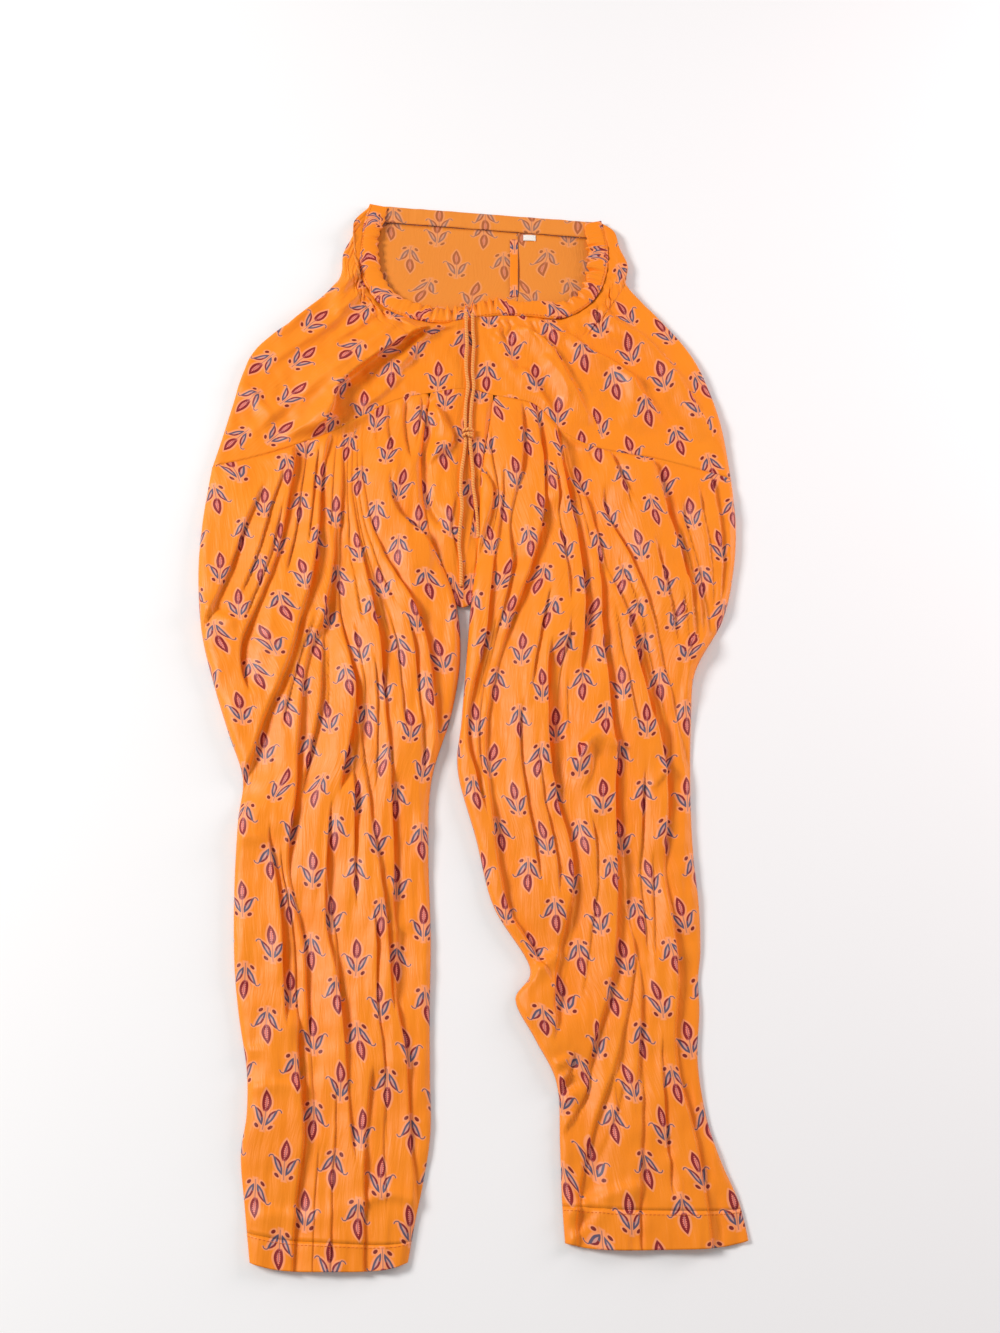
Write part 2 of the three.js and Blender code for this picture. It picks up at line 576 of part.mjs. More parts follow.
// The front of the belt, gathered into the casing at its top and seamed to the legs below
function yokeFront() {
  const { rows, columns } = BELT_GRID;
  const half = 0.5 * BELT_SEAM_GAP;
  const below = -(CASING_WIDTH + CASING_SEAM_GAP);
  const top = (s) => offsetPoint(MOUTH, s * MOUTH_AT.backRight, below);
  const bottom = (s) => pointOn(YOKE_SEAM, s * SEAM_AT.rightHip).add(new THREE.Vector2(0, half));
  const left = (t) => pointDown(LEFT_HIP, 0, t);
  const right = (t) => pointDown(RIGHT_HIP, 0, t);
  const outerAt = (r, c) => {
    const t = r / (rows - 1);
    const s = c / (columns - 1);
    const plan = patch(top, bottom, left, right, s, t);
    const edge = c === 0 || c === columns - 1 ? 0 : Math.sin(Math.PI * s) ** BELT_EDGE_POWER;
    const gathers = BELT_GATHER.rise * (1 - ease(t, 0, BELT_GATHER.fades)) * Math.cos(Math.PI * c);
    const seamDip = 1 - BELT_DIP.share * ease(t, BELT_DIP.from, 1);
    const folds = foldHeight(BELT_FOLDS, plan.x, plan.y) * seamDip;
    const z = FRONT_EDGE + edge * (BELT_HEAP + gathers + folds);
    return new THREE.Vector3(plan.x, plan.y, z);
  };
  return wall('yoke_front', rows, columns, outerAt, COLOURS.cloth);
}

// Height of the back waist in the picture, at a place across it
const backWaistY = (x) => BACK_WAIST.middle + BACK_WAIST.slope * x;

// One half of the belt's back, flat on the surface, its wrong side showing through the waist
function yokeBack(side) {
  const rows = BACK_ROWS;
  const columns = backColumns(side);
  const isLeft = side === 'left';
  const inwards = isLeft ? 1 : -1;
  const half = 0.5 * SEAM_GAP;
  const hip = isLeft ? LEFT_HIP : RIGHT_HIP;
  const moved = (point, distance) => point.add(new THREE.Vector2(inwards * distance, 0));
  const hipAt = (t) => moved(pointDown(hip, BACK_HIP_START[side], t), BACK_INSET);
  const middleAt = (t) => moved(pointDown(CENTRE_BACK_SEAM, 0, t), -half);
  const top = (s) => {
    const x = lerp(hipAt(0).x, middleAt(0).x, s);
    return new THREE.Vector2(x, backWaistY(x) - CASING_WIDTH - SEAM_GAP);
  };
  const bottom = (s) => {
    const outer = isLeft ? SEAM_AT.leftHip : SEAM_AT.rightHip;
    const point = pointOn(YOKE_SEAM, lerp(outer, SEAM_AT.centre, s));
    point.x += inwards * lerp(BACK_INSET, -half, s);
    point.y += 0.5 * BELT_SEAM_GAP;
    return point;
  };
  const outerAt = (r, c) => {
    const plan = patch(top, bottom, hipAt, middleAt, c / (columns - 1), r / (rows - 1));
    return new THREE.Vector3(plan.x, plan.y, CLOTH);
  };
  return wall(`yoke_back_${side}`, rows, columns, outerAt, COLOURS.inside);
}

// The channel for the drawstring: flat along the back, gathered round the sides and the front
function casingBack() {
  const columns = 13;
  const outerAt = (r, c) => {
    const x = lerp(BACK_WAIST.left, BACK_WAIST.right, c / (columns - 1));
    return new THREE.Vector3(x, backWaistY(x) - CASING_WIDTH * (r / 2), DOUBLE_CLOTH);
  };
  return wall('casing_back', 3, columns, outerAt, COLOURS.casing, DOUBLE_CLOTH);
}

function casingGathered(name, from, to, gathers) {
  const columns = gathers * GATHER_COLUMNS + 1;
  const last = MOUTH.length - 1;
  const start = from === 0 ? from : from + CASING_END_GAP;
  const end = to === last ? to : to - CASING_END_GAP;
  const outerAt = (r, c) => {
    const s = lerp(start, end, c / (columns - 1));
    const across = r / 3;
    const plan = offsetPoint(MOUTH, s, -CASING_WIDTH * across);
    const share = r === 0 || r === 3 ? GATHER_AT_EDGE : 1;
    const wave = GATHER_RISE * share * Math.cos(2 * Math.PI * (c / GATHER_COLUMNS));
    const nearEnd = ease(Math.min(s, last - s), 0, CASING_END_LENGTH);
    const roll = CASING_HEIGHT * Math.sin(Math.PI * lerp(0.2, 0.8, across));
    const height = lerp(CASING_END_HEIGHT, roll + wave, nearEnd);
    return new THREE.Vector3(plan.x, plan.y, FRONT_UNDERSIDE + DOUBLE_CLOTH + height);
  };
  return wall(name, 4, columns, outerAt, COLOURS.casing, DOUBLE_CLOTH);
}

// A round cord along a route, as a tube with closed ends
function cord(name, route) {
  const points = route.map(([x, y, z]) => new THREE.Vector3(x, y, z));
  const path = new THREE.CatmullRomCurve3(points);
  const section = new THREE.Shape();
  for (let i = 0; i < CORD_SIDES; i += 1) {
    const angle = (2 * Math.PI * i) / CORD_SIDES;
    const x = 0.5 * CORD_DIAMETER * Math.cos(angle);
    const y = 0.5 * CORD_DIAMETER * Math.sin(angle);
    if (i === 0) section.moveTo(x, y);
    else section.lineTo(x, y);
  }
  section.closePath();
  const steps = Math.round(path.getLength() / (2.5 * CORD_DIAMETER));
  const geometry = new THREE.ExtrudeGeometry(section, { steps, extrudePath: path, bevelEnabled: false });
  const mesh = new THREE.Mesh(geometry, cotton(COLOURS.cord));
  mesh.name = name;
  return mesh;
}

// The knot that ties the two ends of the drawstring: a flattened barrel that the ends meet
function knot() {
  const half = 0.5 * KNOT.width;
  const end = 0.5 * KNOT.height;
  const profile = [
    [0, -end], [KNOT.endShare * half, -end], [half, -0.5 * end],
    [half, 0.5 * end], [KNOT.endShare * half, end], [0, end],
  ];
  const points = profile.map(([radius, height]) => new THREE.Vector2(radius, height));
  const geometry = new THREE.LatheGeometry(points, KNOT.sides);
  geometry.scale(1, 1, KNOT.depth / KNOT.width);
  const mesh = new THREE.Mesh(geometry, cotton(COLOURS.cord));
  mesh.name = 'drawstring_knot';
  mesh.position.set(KNOT.x, KNOT.y, KNOT.z);
  return mesh;
}

// The bare label under the casing, on the right half of the back
function label() {
  const bottom = CLOTH + LAYER_GAP;
  const outerAt = (r, c) => new THREE.Vector3(
    LABEL.x + LABEL.width * (c - 0.5),
    LABEL.y - LABEL.height * (r - 0.5),
    bottom + LABEL.thickness,
  );
  return wall('label', 2, 2, outerAt, COLOURS.label, LABEL.thickness);
}

// The seam allowance of the centre back, pressed to the left of its seam
function seamAllowance() {
  const rows = 7;
  const seamTop = CENTRE_BACK_SEAM[0].y;
  const seamFall = seamTop - CENTRE_BACK_SEAM[CENTRE_BACK_SEAM.length - 1].y;
  const outerAt = (r, c) => {
    const y = lerp(ALLOWANCE.top, ALLOWANCE.bottom, r / (rows - 1));
    const seam = pointDown(CENTRE_BACK_SEAM, 0, (seamTop - y) / seamFall);
    const x = seam.x - ALLOWANCE.fromSeam - ALLOWANCE.width * c;
    return new THREE.Vector3(x, y, 2 * CLOTH + LAYER_GAP);
  };
  return wall('back_seam_allowance', rows, 2, outerAt, COLOURS.inside);
}

const salwar = new THREE.Group();
salwar.add(yokeFront(), yokeBack('left'), yokeBack('right'));
salwar.add(casingBack());
salwar.add(casingGathered('casing_left', MOUTH_AT.backLeft, MOUTH_AT.frontLeft, 6));
salwar.add(casingGathered('casing_front', MOUTH_AT.frontLeft, MOUTH_AT.frontRight, CASING_GATHERS));
salwar.add(casingGathered('casing_right', MOUTH_AT.frontRight, MOUTH_AT.backRight, 6));
['left', 'right'].forEach((side) => {
  salwar.add(legFront(side), legBack(side), hemFront(side), hemBack(side), gusset(side));
});
salwar.add(label(), seamAllowance(), knot());
Object.entries(CORD_ROUTES).forEach(([name, route]) => salwar.add(cord(name, route)));

export default salwar;
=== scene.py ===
# %% [markdown]
# # A patiala salwar laid flat
#
# A patiala salwar is a pair of loose trousers. A deep belt is gathered on a drawstring, and two
# very wide legs are pleated into the belt and fall in long soft folds to narrow hems. Here it
# lies flat on a pale surface with its front up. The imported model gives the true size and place
# of every sewn piece, and this script makes the cloth over it.

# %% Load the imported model
import math

import bpy
import numpy as np
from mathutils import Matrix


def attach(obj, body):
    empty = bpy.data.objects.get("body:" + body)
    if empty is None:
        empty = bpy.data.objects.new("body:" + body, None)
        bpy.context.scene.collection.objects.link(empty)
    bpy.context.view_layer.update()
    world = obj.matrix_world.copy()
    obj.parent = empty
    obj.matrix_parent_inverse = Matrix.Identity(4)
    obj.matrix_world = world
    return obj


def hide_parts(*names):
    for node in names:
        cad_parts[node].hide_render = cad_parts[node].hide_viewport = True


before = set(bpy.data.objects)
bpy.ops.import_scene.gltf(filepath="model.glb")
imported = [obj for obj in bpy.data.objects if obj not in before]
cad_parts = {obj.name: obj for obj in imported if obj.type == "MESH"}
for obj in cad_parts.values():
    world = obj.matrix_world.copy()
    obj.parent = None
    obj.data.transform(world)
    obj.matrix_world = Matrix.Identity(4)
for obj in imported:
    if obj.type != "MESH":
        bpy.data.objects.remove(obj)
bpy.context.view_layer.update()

# %% [markdown]
# ## The camera
#
# The garment was photographed from almost overhead, tilted a little towards its hems. A camera
# is placed by what it looks at, how far away it is and how high it stands. The focal length
# follows from how many pixels tall the picture is, because the sensor's long side is 36 mm.

# %% Place the camera
MM = 0.001
PICTURE_HEIGHT_PX = 1333
FOCAL_PX = 1650
SENSOR_MM = 36
AIM = (0.0284, 0.0106, 0.0)
AIM_DISTANCE = 1.45
ELEVATION = math.radians(70)


def deselect():
    """Nothing is selected, because an operator acts on all that is."""
    bpy.ops.object.select_all(action="DESELECT")


back_off = AIM_DISTANCE * math.cos(ELEVATION)
rise = AIM_DISTANCE * math.sin(ELEVATION)
deselect()
bpy.ops.object.camera_add(
    location=(AIM[0], AIM[1] - back_off, AIM[2] + rise),
    rotation=(math.pi / 2 - ELEVATION, 0, 0),
)
camera = bpy.context.object
camera.name = "camera"
camera.data.sensor_width = SENSOR_MM
camera.data.lens = FOCAL_PX * SENSOR_MM / PICTURE_HEIGHT_PX
camera.data.dof.use_dof = False
bpy.context.scene.camera = camera
print("lens, mm:", round(camera.data.lens, 2))

# %% [markdown]
# ## Curves through a few named points
#
# A maker marks a pattern with a few points and joins them with a smooth line. `smooth` does
# that for a row of numbers, and `curve` for a row of points. `ease` goes softly from 0 to 1.

# %% Helpers for smooth lines
def smooth(values, position):
    """Value at a position along a row of numbers, joined by a smooth curve."""
    values = np.asarray(values, float)
    position = np.asarray(position, float)
    last = len(values) - 1
    i = np.clip(np.floor(position).astype(int), 0, last - 1)
    u = position - i
    a = values[np.maximum(i - 1, 0)]
    b = values[i]
    c = values[i + 1]
    d = values[np.minimum(i + 2, last)]
    return b + 0.5 * u * (c - a + u * (2 * a - 5 * b + 4 * c - d + u * (3 * (b - c) + d - a)))


def curve(points, position):
    """Point at a position along a row of points."""
    columns = np.asarray(points, float).T
    return np.stack([smooth(column, position) for column in columns], axis=-1)


def ease(value, start, end):
    """0 before start, 1 after end, and a soft step between them."""
    t = np.clip((np.asarray(value, float) - start) / (end - start), 0, 1)
    return t * t * (3 - 2 * t)


def ripples(x, y, seed, length, stretch=1.0, waves=14):
    """Random soft ripples of about one length, longer along y by the stretch."""
    rng = np.random.default_rng(seed)
    total = np.zeros(np.broadcast(x, y).shape)
    for _ in range(waves):
        turn = rng.uniform(0, 2 * math.pi)
        pitch = 2 * math.pi / (length * rng.uniform(0.7, 1.5))
        wave = pitch * (math.cos(turn) * x + math.sin(turn) * y / stretch)
        total = total + np.sin(wave + rng.uniform(0, 2 * math.pi))
    return total / math.sqrt(waves)


def unevenness(x, y, kinds, seed=0):
    """Ripples of several kinds together. A kind has a seed, a height, a length, a stretch along y
    and a number of waves."""
    return sum(
        height * ripples(x, y, seed + number, length, stretch, waves)
        for number, height, length, stretch, waves in kinds
    )


# %% [markdown]
# ## The cut of the garment
#
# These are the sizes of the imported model, in millimetres, with the waist at +Y. The seam of
# the belt, the hips, the rim of the waist and the edges of the legs are each a short row of
# points. They are needed again here because the cloth has to follow the same outline.

# %% Sizes of the cut
YOKE_SEAM = [
    (-236, 203), (-202, 211), (-165, 223), (-129, 238), (-97, 256.5), (-65, 273), (-36, 279),
    (-4, 284), (22, 277), (36, 274.5), (59, 268), (76, 252), (89, 237), (108, 226),
    (129, 219), (166, 212), (210, 200), (240, 190),
]
SEAM_AT = {"left_hip": 0, "left_gusset": 6, "centre": 7, "right_gusset": 8, "right_hip": 17}
LEFT_HIP = [
    (-99, 489), (-114, 471), (-115, 453), (-124, 433), (-128, 402), (-162, 364),
    (-200, 331), (-213, 303), (-221, 268), (-229, 232), (-236, 203),
]
RIGHT_HIP = [
    (128, 469), (141, 458), (146, 438), (153, 420), (151, 398), (167, 376),
    (188, 351), (209, 321), (223, 288), (234, 245), (240, 190),
]
MOUTH = [
    (-81, 485), (-85, 467), (-88, 440), (-86, 408), (-67, 383), (-30, 372), (0, 376),
    (28, 380), (57, 379), (84, 377), (104, 391), (113, 414), (114, 440), (109, 466),
]
CENTRE_BACK_SEAM = [(46, 457), (46, 415), (44, 375), (28, 330), (-4, 284)]
RISE_SEAM = [(-4, 284), (-2, 230), (4, 172), (-2, 122), (-4.5, 72)]
CROTCH = 4
CASING_WIDTH = 18
HEM_DEPTH = 24
HEM_BOW = {"left": 7, "right": 6}
HEM_BOW_STATIONS = 1.5
# Over how many stations the slant of the seam with the belt fades out
SEAM_SLANT = 3

# A row for each station down the leg: outer x, outer y, inner x, inner y
LEG_EDGES = {
    "left": [
        (-236, 203, -36, 279), (-241, 150, -43, 215), (-242, 100, -40, 165), (-236, 45, -30, 125),
        (-224, 0, -11, 72), (-207, -50, -6.5, 18), (-192, -92, -14, -35), (-194, -130, -30, -93),
        (-194, -185, -32, -155), (-191, -245, -29, -230), (-185, -290, -29, -290),
        (-176, -335, -28, -340), (-174, -370, -27, -385), (-177, -402, -32, -422),
        (-172, -440, -38, -452), (-166, -482, -43, -482),
    ],
    "right": [
        (240, 190, 22, 277), (242, 148, 12, 215), (238, 103, 9, 165), (226, 54, 7, 115),
        (200, 6, 2.5, 72), (194, -39, -1, 20), (191, -100, -5, -40), (191, -154, -8, -85),
        (194, -200, 8, -145), (194, -238, 23, -203), (191, -264, 37, -254), (191, -290, 49, -280),
        (188, -330, 61, -312), (193, -372, 74, -347), (203, -406, 76, -395), (216, -438, 77, -435),
        (222, -466, 79, -468),
    ],
}
# How far a fold bulges past the right leg's inner edge at the knee, a value for each station
LOBE = {"left": [0] * 16, "right": [0] * 10 + [-16, 8, 4] + [0] * 4}


def leg_plan(side, station, across, back=False):
    """Plan position on a leg, from its outer edge (0) to its inner edge (1)."""
    table = np.asarray(LEG_EDGES[side], float)

    def straight(place):
        outer = curve(table[:, 0:2], place)
        inner = curve(table[:, 2:4], place)
        if back:
            rise_seam = curve(RISE_SEAM, np.minimum(place, CROTCH))
            inner = np.where((place < CROTCH)[..., None], rise_seam, inner)
        return outer + (inner - outer) * across[..., None]

    station, across = np.broadcast_arrays(station, across)
    point = straight(station)
    inner_at = SEAM_AT["centre"] if back else SEAM_AT[side + "_gusset"]
    seam_at = SEAM_AT[side + "_hip"] + (inner_at - SEAM_AT[side + "_hip"]) * across
    follow = 1 - ease(station, 0, SEAM_SLANT)
    top = straight(np.zeros_like(station))
    point = point + (curve(YOKE_SEAM, seam_at) - top) * follow[..., None]
    last = len(table) - 1
    point[..., 0] -= smooth(LOBE[side], station) * ease(across, 0.6, 1)
    bow = HEM_BOW[side] * ease(station, last - HEM_BOW_STATIONS, last)
    point[..., 1] -= bow * (1 - (2 * across - 1) ** 4)
    return point


# %% [markdown]
# ## Cloth as a grid
#
# Every panel is a grid of points, a row for each step down the cloth and a column for each
# step across it. The print has to keep its size on the cloth however it is folded, so each
# point also gets a place on the flat cloth, measured along the folds. `Solidify` then turns
# the sheet into a thin shell with a right side and a wrong side.

# %% Helpers for cloth
CLOTH_MM = 0.5


def flat_places(grid):
    """Where each point of a folded sheet lies on the flat cloth, in mm."""
    down = np.gradient(grid, axis=0)
    down /= np.linalg.norm(down, axis=2, keepdims=True) + 1e-9
    step = np.diff(grid, axis=1)
    middle = 0.5 * (down[:, 1:] + down[:, :-1])
    along = (step * middle).sum(axis=2)
    square = np.sqrt(np.maximum((step ** 2).sum(axis=2) - along ** 2, 0))
    u = np.zeros(grid.shape[:2])
    u[:, 1:] = np.cumsum(square, axis=1)
    u -= u[:, grid.shape[1] // 2][:, None]
    v = np.zeros(grid.shape[:2])
    v[1:] = np.cumsum(np.linalg.norm(np.diff(grid, axis=0), axis=2), axis=0)
    v[:, 1:] += np.cumsum(along[0])
    return u, -v


def apply_modifier(piece, kind, **settings):
    """Adds a modifier with these settings and applies it."""
    deselect()
    piece.select_set(True)
    bpy.context.view_layer.objects.active = piece
    modifier = piece.modifiers.new(kind.title(), kind)
    for key, value in settings.items():
        setattr(modifier, key, value)
    bpy.ops.object.modifier_apply(modifier=modifier.name)


def quad_corners(values):
    """The four corner values of each face of a grid, in the order of the face's points."""
    return np.stack([values[:-1, :-1], values[1:, :-1], values[1:, 1:], values[:-1, 1:]], axis=2)


def mesh_piece(name, points, faces, materials, places=None):
    """A smooth piece from points in mm, with the place of each corner on the flat cloth."""
    mesh = bpy.data.meshes.new(name)
    mesh.from_pydata((points.reshape(-1, 3) * MM).tolist(), [], faces)
    if places is not None:
        layer = mesh.uv_layers.new(name="cloth")
        layer.data.foreach_set("uv", (places * MM).reshape(-1).astype(np.float32))
    for material in materials:
        mesh.materials.append(material)
    mesh.polygons.foreach_set("use_smooth", [True] * len(mesh.polygons))
    mesh.update()
    piece = bpy.data.objects.new(name, mesh)
    bpy.context.scene.collection.objects.link(piece)
    return piece


def cloth_piece(name, grid, materials, places=None, corners=None, thickness=CLOTH_MM):
    """A thin shell on a grid of points in mm, its right side facing out."""
    rows, columns = grid.shape[:2]
    quads = quad_corners(np.arange(rows * columns).reshape(rows, columns))
    if corners is None:
        u, v = flat_places(grid) if places is None else places
        corners = quad_corners(np.stack([u, v], axis=-1))
    piece = mesh_piece(name, grid, quads.reshape(-1, 4).tolist(), materials, corners)
    apply_modifier(
        piece, "SOLIDIFY", thickness=thickness * MM, offset=-1,
        material_offset=len(materials) - 1, use_quality_normals=True,
    )
    print(f"{name}: {len(piece.data.polygons)} faces")
    return piece


def raised(plan, height):
    """Points of the plan together with their heights."""
    return np.concatenate([plan, height[..., None]], axis=2)


# How far a fold leans over, and the shares of its line where it is full grown and starts to fade
FOLD_HABIT = {"lean": 0.4, "grows": 0.2, "fades": 0.7}
LINE_SAMPLES = 60


def fold_field(x, y, folds):
    """Height and sideways shift that a table of large folds gives to points of the plan.

    A row says how high the fold rises, how wide its soft and its sharp side are, and the line
    that it follows. The soft side lies on the right of the line's travel, and the fold leans
    over its sharp side. A row may end with its own habits."""
    height = np.zeros_like(x)
    shift_x = np.zeros_like(x)
    shift_y = np.zeros_like(x)
    for rise, soft, sharp, points, *special in folds:
        habit = {**FOLD_HABIT, **(special[0] if special else {})}
        line = curve(points, np.linspace(0, len(points) - 1, LINE_SAMPLES))
        along = np.gradient(line, axis=0)
        along /= np.linalg.norm(along, axis=1, keepdims=True)
        away_x = x[..., None] - line[:, 0]
        away_y = y[..., None] - line[:, 1]
        nearest = np.argmin(away_x ** 2 + away_y ** 2, axis=-1)
        pick = nearest[..., None]
        near_x = np.take_along_axis(away_x, pick, -1)[..., 0]
        near_y = np.take_along_axis(away_y, pick, -1)[..., 0]
        side_x, side_y = -along[nearest, 1], along[nearest, 0]
        left = near_x * side_x + near_y * side_y
        beyond = np.abs(near_x * along[nearest, 0] + near_y * along[nearest, 1])
        part = nearest / (LINE_SAMPLES - 1)
        taper = ease(part, -0.02, habit["grows"]) * (1 - ease(part, habit["fades"], 1.05))
        width = np.where(left > 0, sharp, soft)
        swell = taper * np.exp(-(np.hypot(left, 0.6 * beyond) / width) ** 1.7)
        height += rise * swell
        shift = habit["lean"] * rise * swell
        shift_x += shift * side_x
        shift_y += shift * side_y
    return height, shift_x, shift_y


# How far beside a cord and beyond its ends the cloth follows it, and the gap between them, in mm
CORD_REACH = 13.0
CORD_FADE = 10.0
CORD_GAP = 0.4


def lay_under(x, y, height, lines):
    """Raises or lowers cloth so that it just carries the cords that lie on it."""
    for line in lines:
        order = np.argsort(line[:, 1])
        along_y = line[order, 1]
        cord_x = np.interp(y, along_y, line[order, 0])
        cord_z = np.interp(y, along_y, line[order, 2])
        beyond = np.maximum(along_y[0] - y, 0) + np.maximum(y - along_y[-1], 0)
        near = np.exp(-((x - cord_x) / CORD_REACH) ** 2 - (beyond / CORD_FADE) ** 2)
        height = height + (cord_z - CORD_MM / 2 - CORD_GAP - height) * near
    return height


# %% [markdown]
# ## Shader maths
#
# Shader nodes are easier to read as sums. `Value` wraps a socket, so that `1 - mask` or
# `a * b` adds the Math nodes by itself, and `Shader.node` makes every other kind of node.

# %% Small classes for shader nodes
def maths(operation):
    """A method that adds one Math node to a value."""
    return lambda self, *others: self.math(operation, *others)


class Value:
    """A number that changes over a surface."""

    def __init__(self, shader, socket):
        self.shader = shader
        self.socket = socket

    def math(self, operation, *others, clamp=False):
        settings = {"operation": operation, "use_clamp": clamp}
        return self.shader.node("ShaderNodeMath", settings, [self, *others])

    __add__ = __radd__ = maths("ADD")
    __sub__ = maths("SUBTRACT")
    __mul__ = __rmul__ = maths("MULTIPLY")
    __truediv__ = maths("DIVIDE")
    absolute = maths("ABSOLUTE")
    floor = maths("FLOOR")
    modulo = maths("FLOORED_MODULO")
    sine = maths("SINE")
    root = maths("SQRT")
    most = maths("MAXIMUM")

    def __rsub__(self, other):
        return self.math("MULTIPLY", -1.0).math("ADD", other)

    def square(self):
        return self.math("MULTIPLY", self)

    def inside(self, soft=0.3):
        """1 where a signed distance is below zero, with a soft edge."""
        return (0.5 - self / soft).math("ADD", 0.0, clamp=True)


class Shader:
    """A material whose nodes are made by one method."""

    def __init__(self, name):
        self.material = bpy.data.materials.new(name)
        self.material.use_nodes = True
        self.tree = self.material.node_tree
        self.surface = self.tree.nodes["Principled BSDF"]

    def node(self, kind, settings=None, inputs=(), output=0):
        made = self.tree.nodes.new(kind)
        for key, value in (settings or {}).items():
            setattr(made, key, value)
        pairs = inputs.items() if isinstance(inputs, dict) else enumerate(inputs)
        for key, value in pairs:
            self.connect(made.inputs[key], value)
        return Value(self, made.outputs[output])

    def connect(self, socket, value):
        if isinstance(value, Value):
            self.tree.links.new(value.socket, socket)
        else:
            socket.default_value = value

    def mix(self, mask, below, above):
        """The colour above where the mask is 1, and the one below where it is 0."""
        settings = {"data_type": "RGBA", "clamp_factor": True}
        return self.node("ShaderNodeMix", settings, {0: mask, 6: below, 7: above}, output=2)

    def noise(self, place, scale, detail=2.0):
        settings = {"Vector": place, "Scale": scale, "Detail": detail}
        return self.node("ShaderNodeTexNoise", None, settings)

    def bump(self, height, strength, distance):
        settings = {"Strength": strength, "Distance": distance, "Height": height}
        return self.node("ShaderNodeBump", None, settings)

    def set(self, **inputs):
        for key, value in inputs.items():
            self.connect(self.surface.inputs[key.replace("_", " ")], value)


def colour(red, green, blue):
    """A colour given as it looks on a screen, 0 to 255."""
    def linear(c):
        c /= 255
        return c / 12.92 if c <= 0.04045 else ((c + 0.055) / 1.055) ** 2.4
    return (linear(red), linear(green), linear(blue), 1.0)


# %% [markdown]
# ## The printed cotton
#
# The print is an ordinary small sprig: an upright pointed leaf in crimson, two blue-grey side
# leaves that curl outwards, two slanted dots and a thin stem. Each sprig is drawn from simple
# shapes by signed distances, in millimetres on the flat cloth. The sprigs stand in staggered
# rows and take turns pointing up and down. The wrong side has the same print, but paler.

# %% The print
SPRIG_ROW = 34.0
SPRIG_STEP = 45.0


# The leaves: the middle, half the length and half the width, in mm along and across them
LEAF = {"middle": 6.2, "long": 9.2, "wide": 3.8}
SIDE_LEAF = {"middle": 4.6, "long": 8.0, "wide": 2.4}
# Where a side leaf starts, and the two parts of its direction
SIDE_ROOT = (2.7, 8.7)
SIDE_WAY = (0.434, 0.901)
CURL = {"x": 10.7, "y": 0.2, "radius": 2.05, "half": 0.42}
DOT = {"x": 5.7, "y": 12.4, "long": 2.2, "short": 1.35}
DOT_WAY = (0.77, 0.64)


def flat_cloth(shader):
    """The two coordinates of the flat cloth, in mm."""
    uv = shader.node("ShaderNodeUVMap", {"uv_map": "cloth"})
    split = shader.node("ShaderNodeSeparateXYZ", None, [uv])
    across = split * 1000.0
    down = Value(shader, split.socket.node.outputs[1]) * 1000.0
    return uv, across, down


def sprig_place(across, down):
    """Coordinates from the middle of the nearest sprig, turned round on every other one."""
    row = (down / SPRIG_ROW + 0.5).floor()
    shifted = across - row.modulo(2.0) * (SPRIG_STEP / 2)
    column = (shifted / SPRIG_STEP + 0.5).floor()
    turn_row = 1 - ((row + 1.0) / 2.0).floor().modulo(2.0) * 2.0
    turn = turn_row * (1 - column.modulo(2.0) * 2.0)
    x = (shifted - column * SPRIG_STEP) * turn
    y = (down - row * SPRIG_ROW) * turn
    return x, y


def sprig_masks(x, y):
    """Masks of the sprig's crimson, blue-grey, pink and lilac parts, and its pale halo."""
    mirrored = x.absolute()

    # The upright leaf, with a toothed pink middle
    bent = x + (y - 6.0).square() * 0.012
    swell = 1 - ((y - LEAF["middle"]) / LEAF["long"]).square()
    leaf = bent.absolute() - swell * LEAF["wide"]
    vein = leaf + 2.45 + (y * 4.2).sine() * 0.4
    leaf_on = (-0.9 - y).inside()
    leaf_fill = leaf.inside() * leaf_on
    leaf_edge = leaf_fill * (1 - vein.inside()) * (1 - (y - 0.2).inside(1.5) * 0.5)

    # The side leaves, along and across their own length
    right, high = mirrored - SIDE_ROOT[0], y + SIDE_ROOT[1]
    up = right * SIDE_WAY[0] + high * SIDE_WAY[1]
    out = right * SIDE_WAY[1] - high * SIDE_WAY[0]
    out = out - (up - 5.0).most(0.0).square() * 0.03
    swell = 1 - ((up - SIDE_LEAF["middle"]) / SIDE_LEAF["long"]).square()
    side = out.absolute() - swell * SIDE_LEAF["wide"]
    side_fill = side.inside()
    side_rim = side_fill * (1 - (side + 1.6).inside())
    inner = (out + 0.3).inside() * (2.6 - up).inside(1.0)
    side_crimson = side_rim * inner
    side_grey = side_rim * (1 - inner)

    # Their curled tips
    ring = ((mirrored - CURL["x"]).square() + (y - CURL["y"]).square()).root()
    tail = (ring - CURL["radius"]).absolute() - CURL["half"]
    tail_on = (0.1 - y).inside() * (9.0 - mirrored).inside()
    tail_mask = tail.inside() * tail_on

    # The dots and the stem
    right, high = mirrored - DOT["x"], y + DOT["y"]
    long_way = right * DOT_WAY[0] + high * DOT_WAY[1]
    short_way = high * DOT_WAY[0] - right * DOT_WAY[1]
    ring = (long_way / DOT["long"]).square() + (short_way / DOT["short"]).square()
    dot = (ring.root() - 1) * 1.5
    stem = ((mirrored - 0.45).most(-9.4 - y * -1.0)).most(-15.2 - y)

    # The colours, and the pale halo round them all
    crimson = leaf_edge.most(side_crimson)
    grey = side_grey.most(tail_mask).most(stem.inside() * 0.55)
    halo = (leaf - 1.7).inside(1.0) * (-2.6 - y).inside(1.0)
    halo = halo.most((side - 1.6).inside(1.0)).most((tail - 0.7).inside(1.0) * tail_on)
    halo = halo.most((dot - 1.0).inside(1.2)).most((stem - 1.8).inside(1.6))
    return crimson, dot.inside(), grey, leaf_fill, side_fill, halo


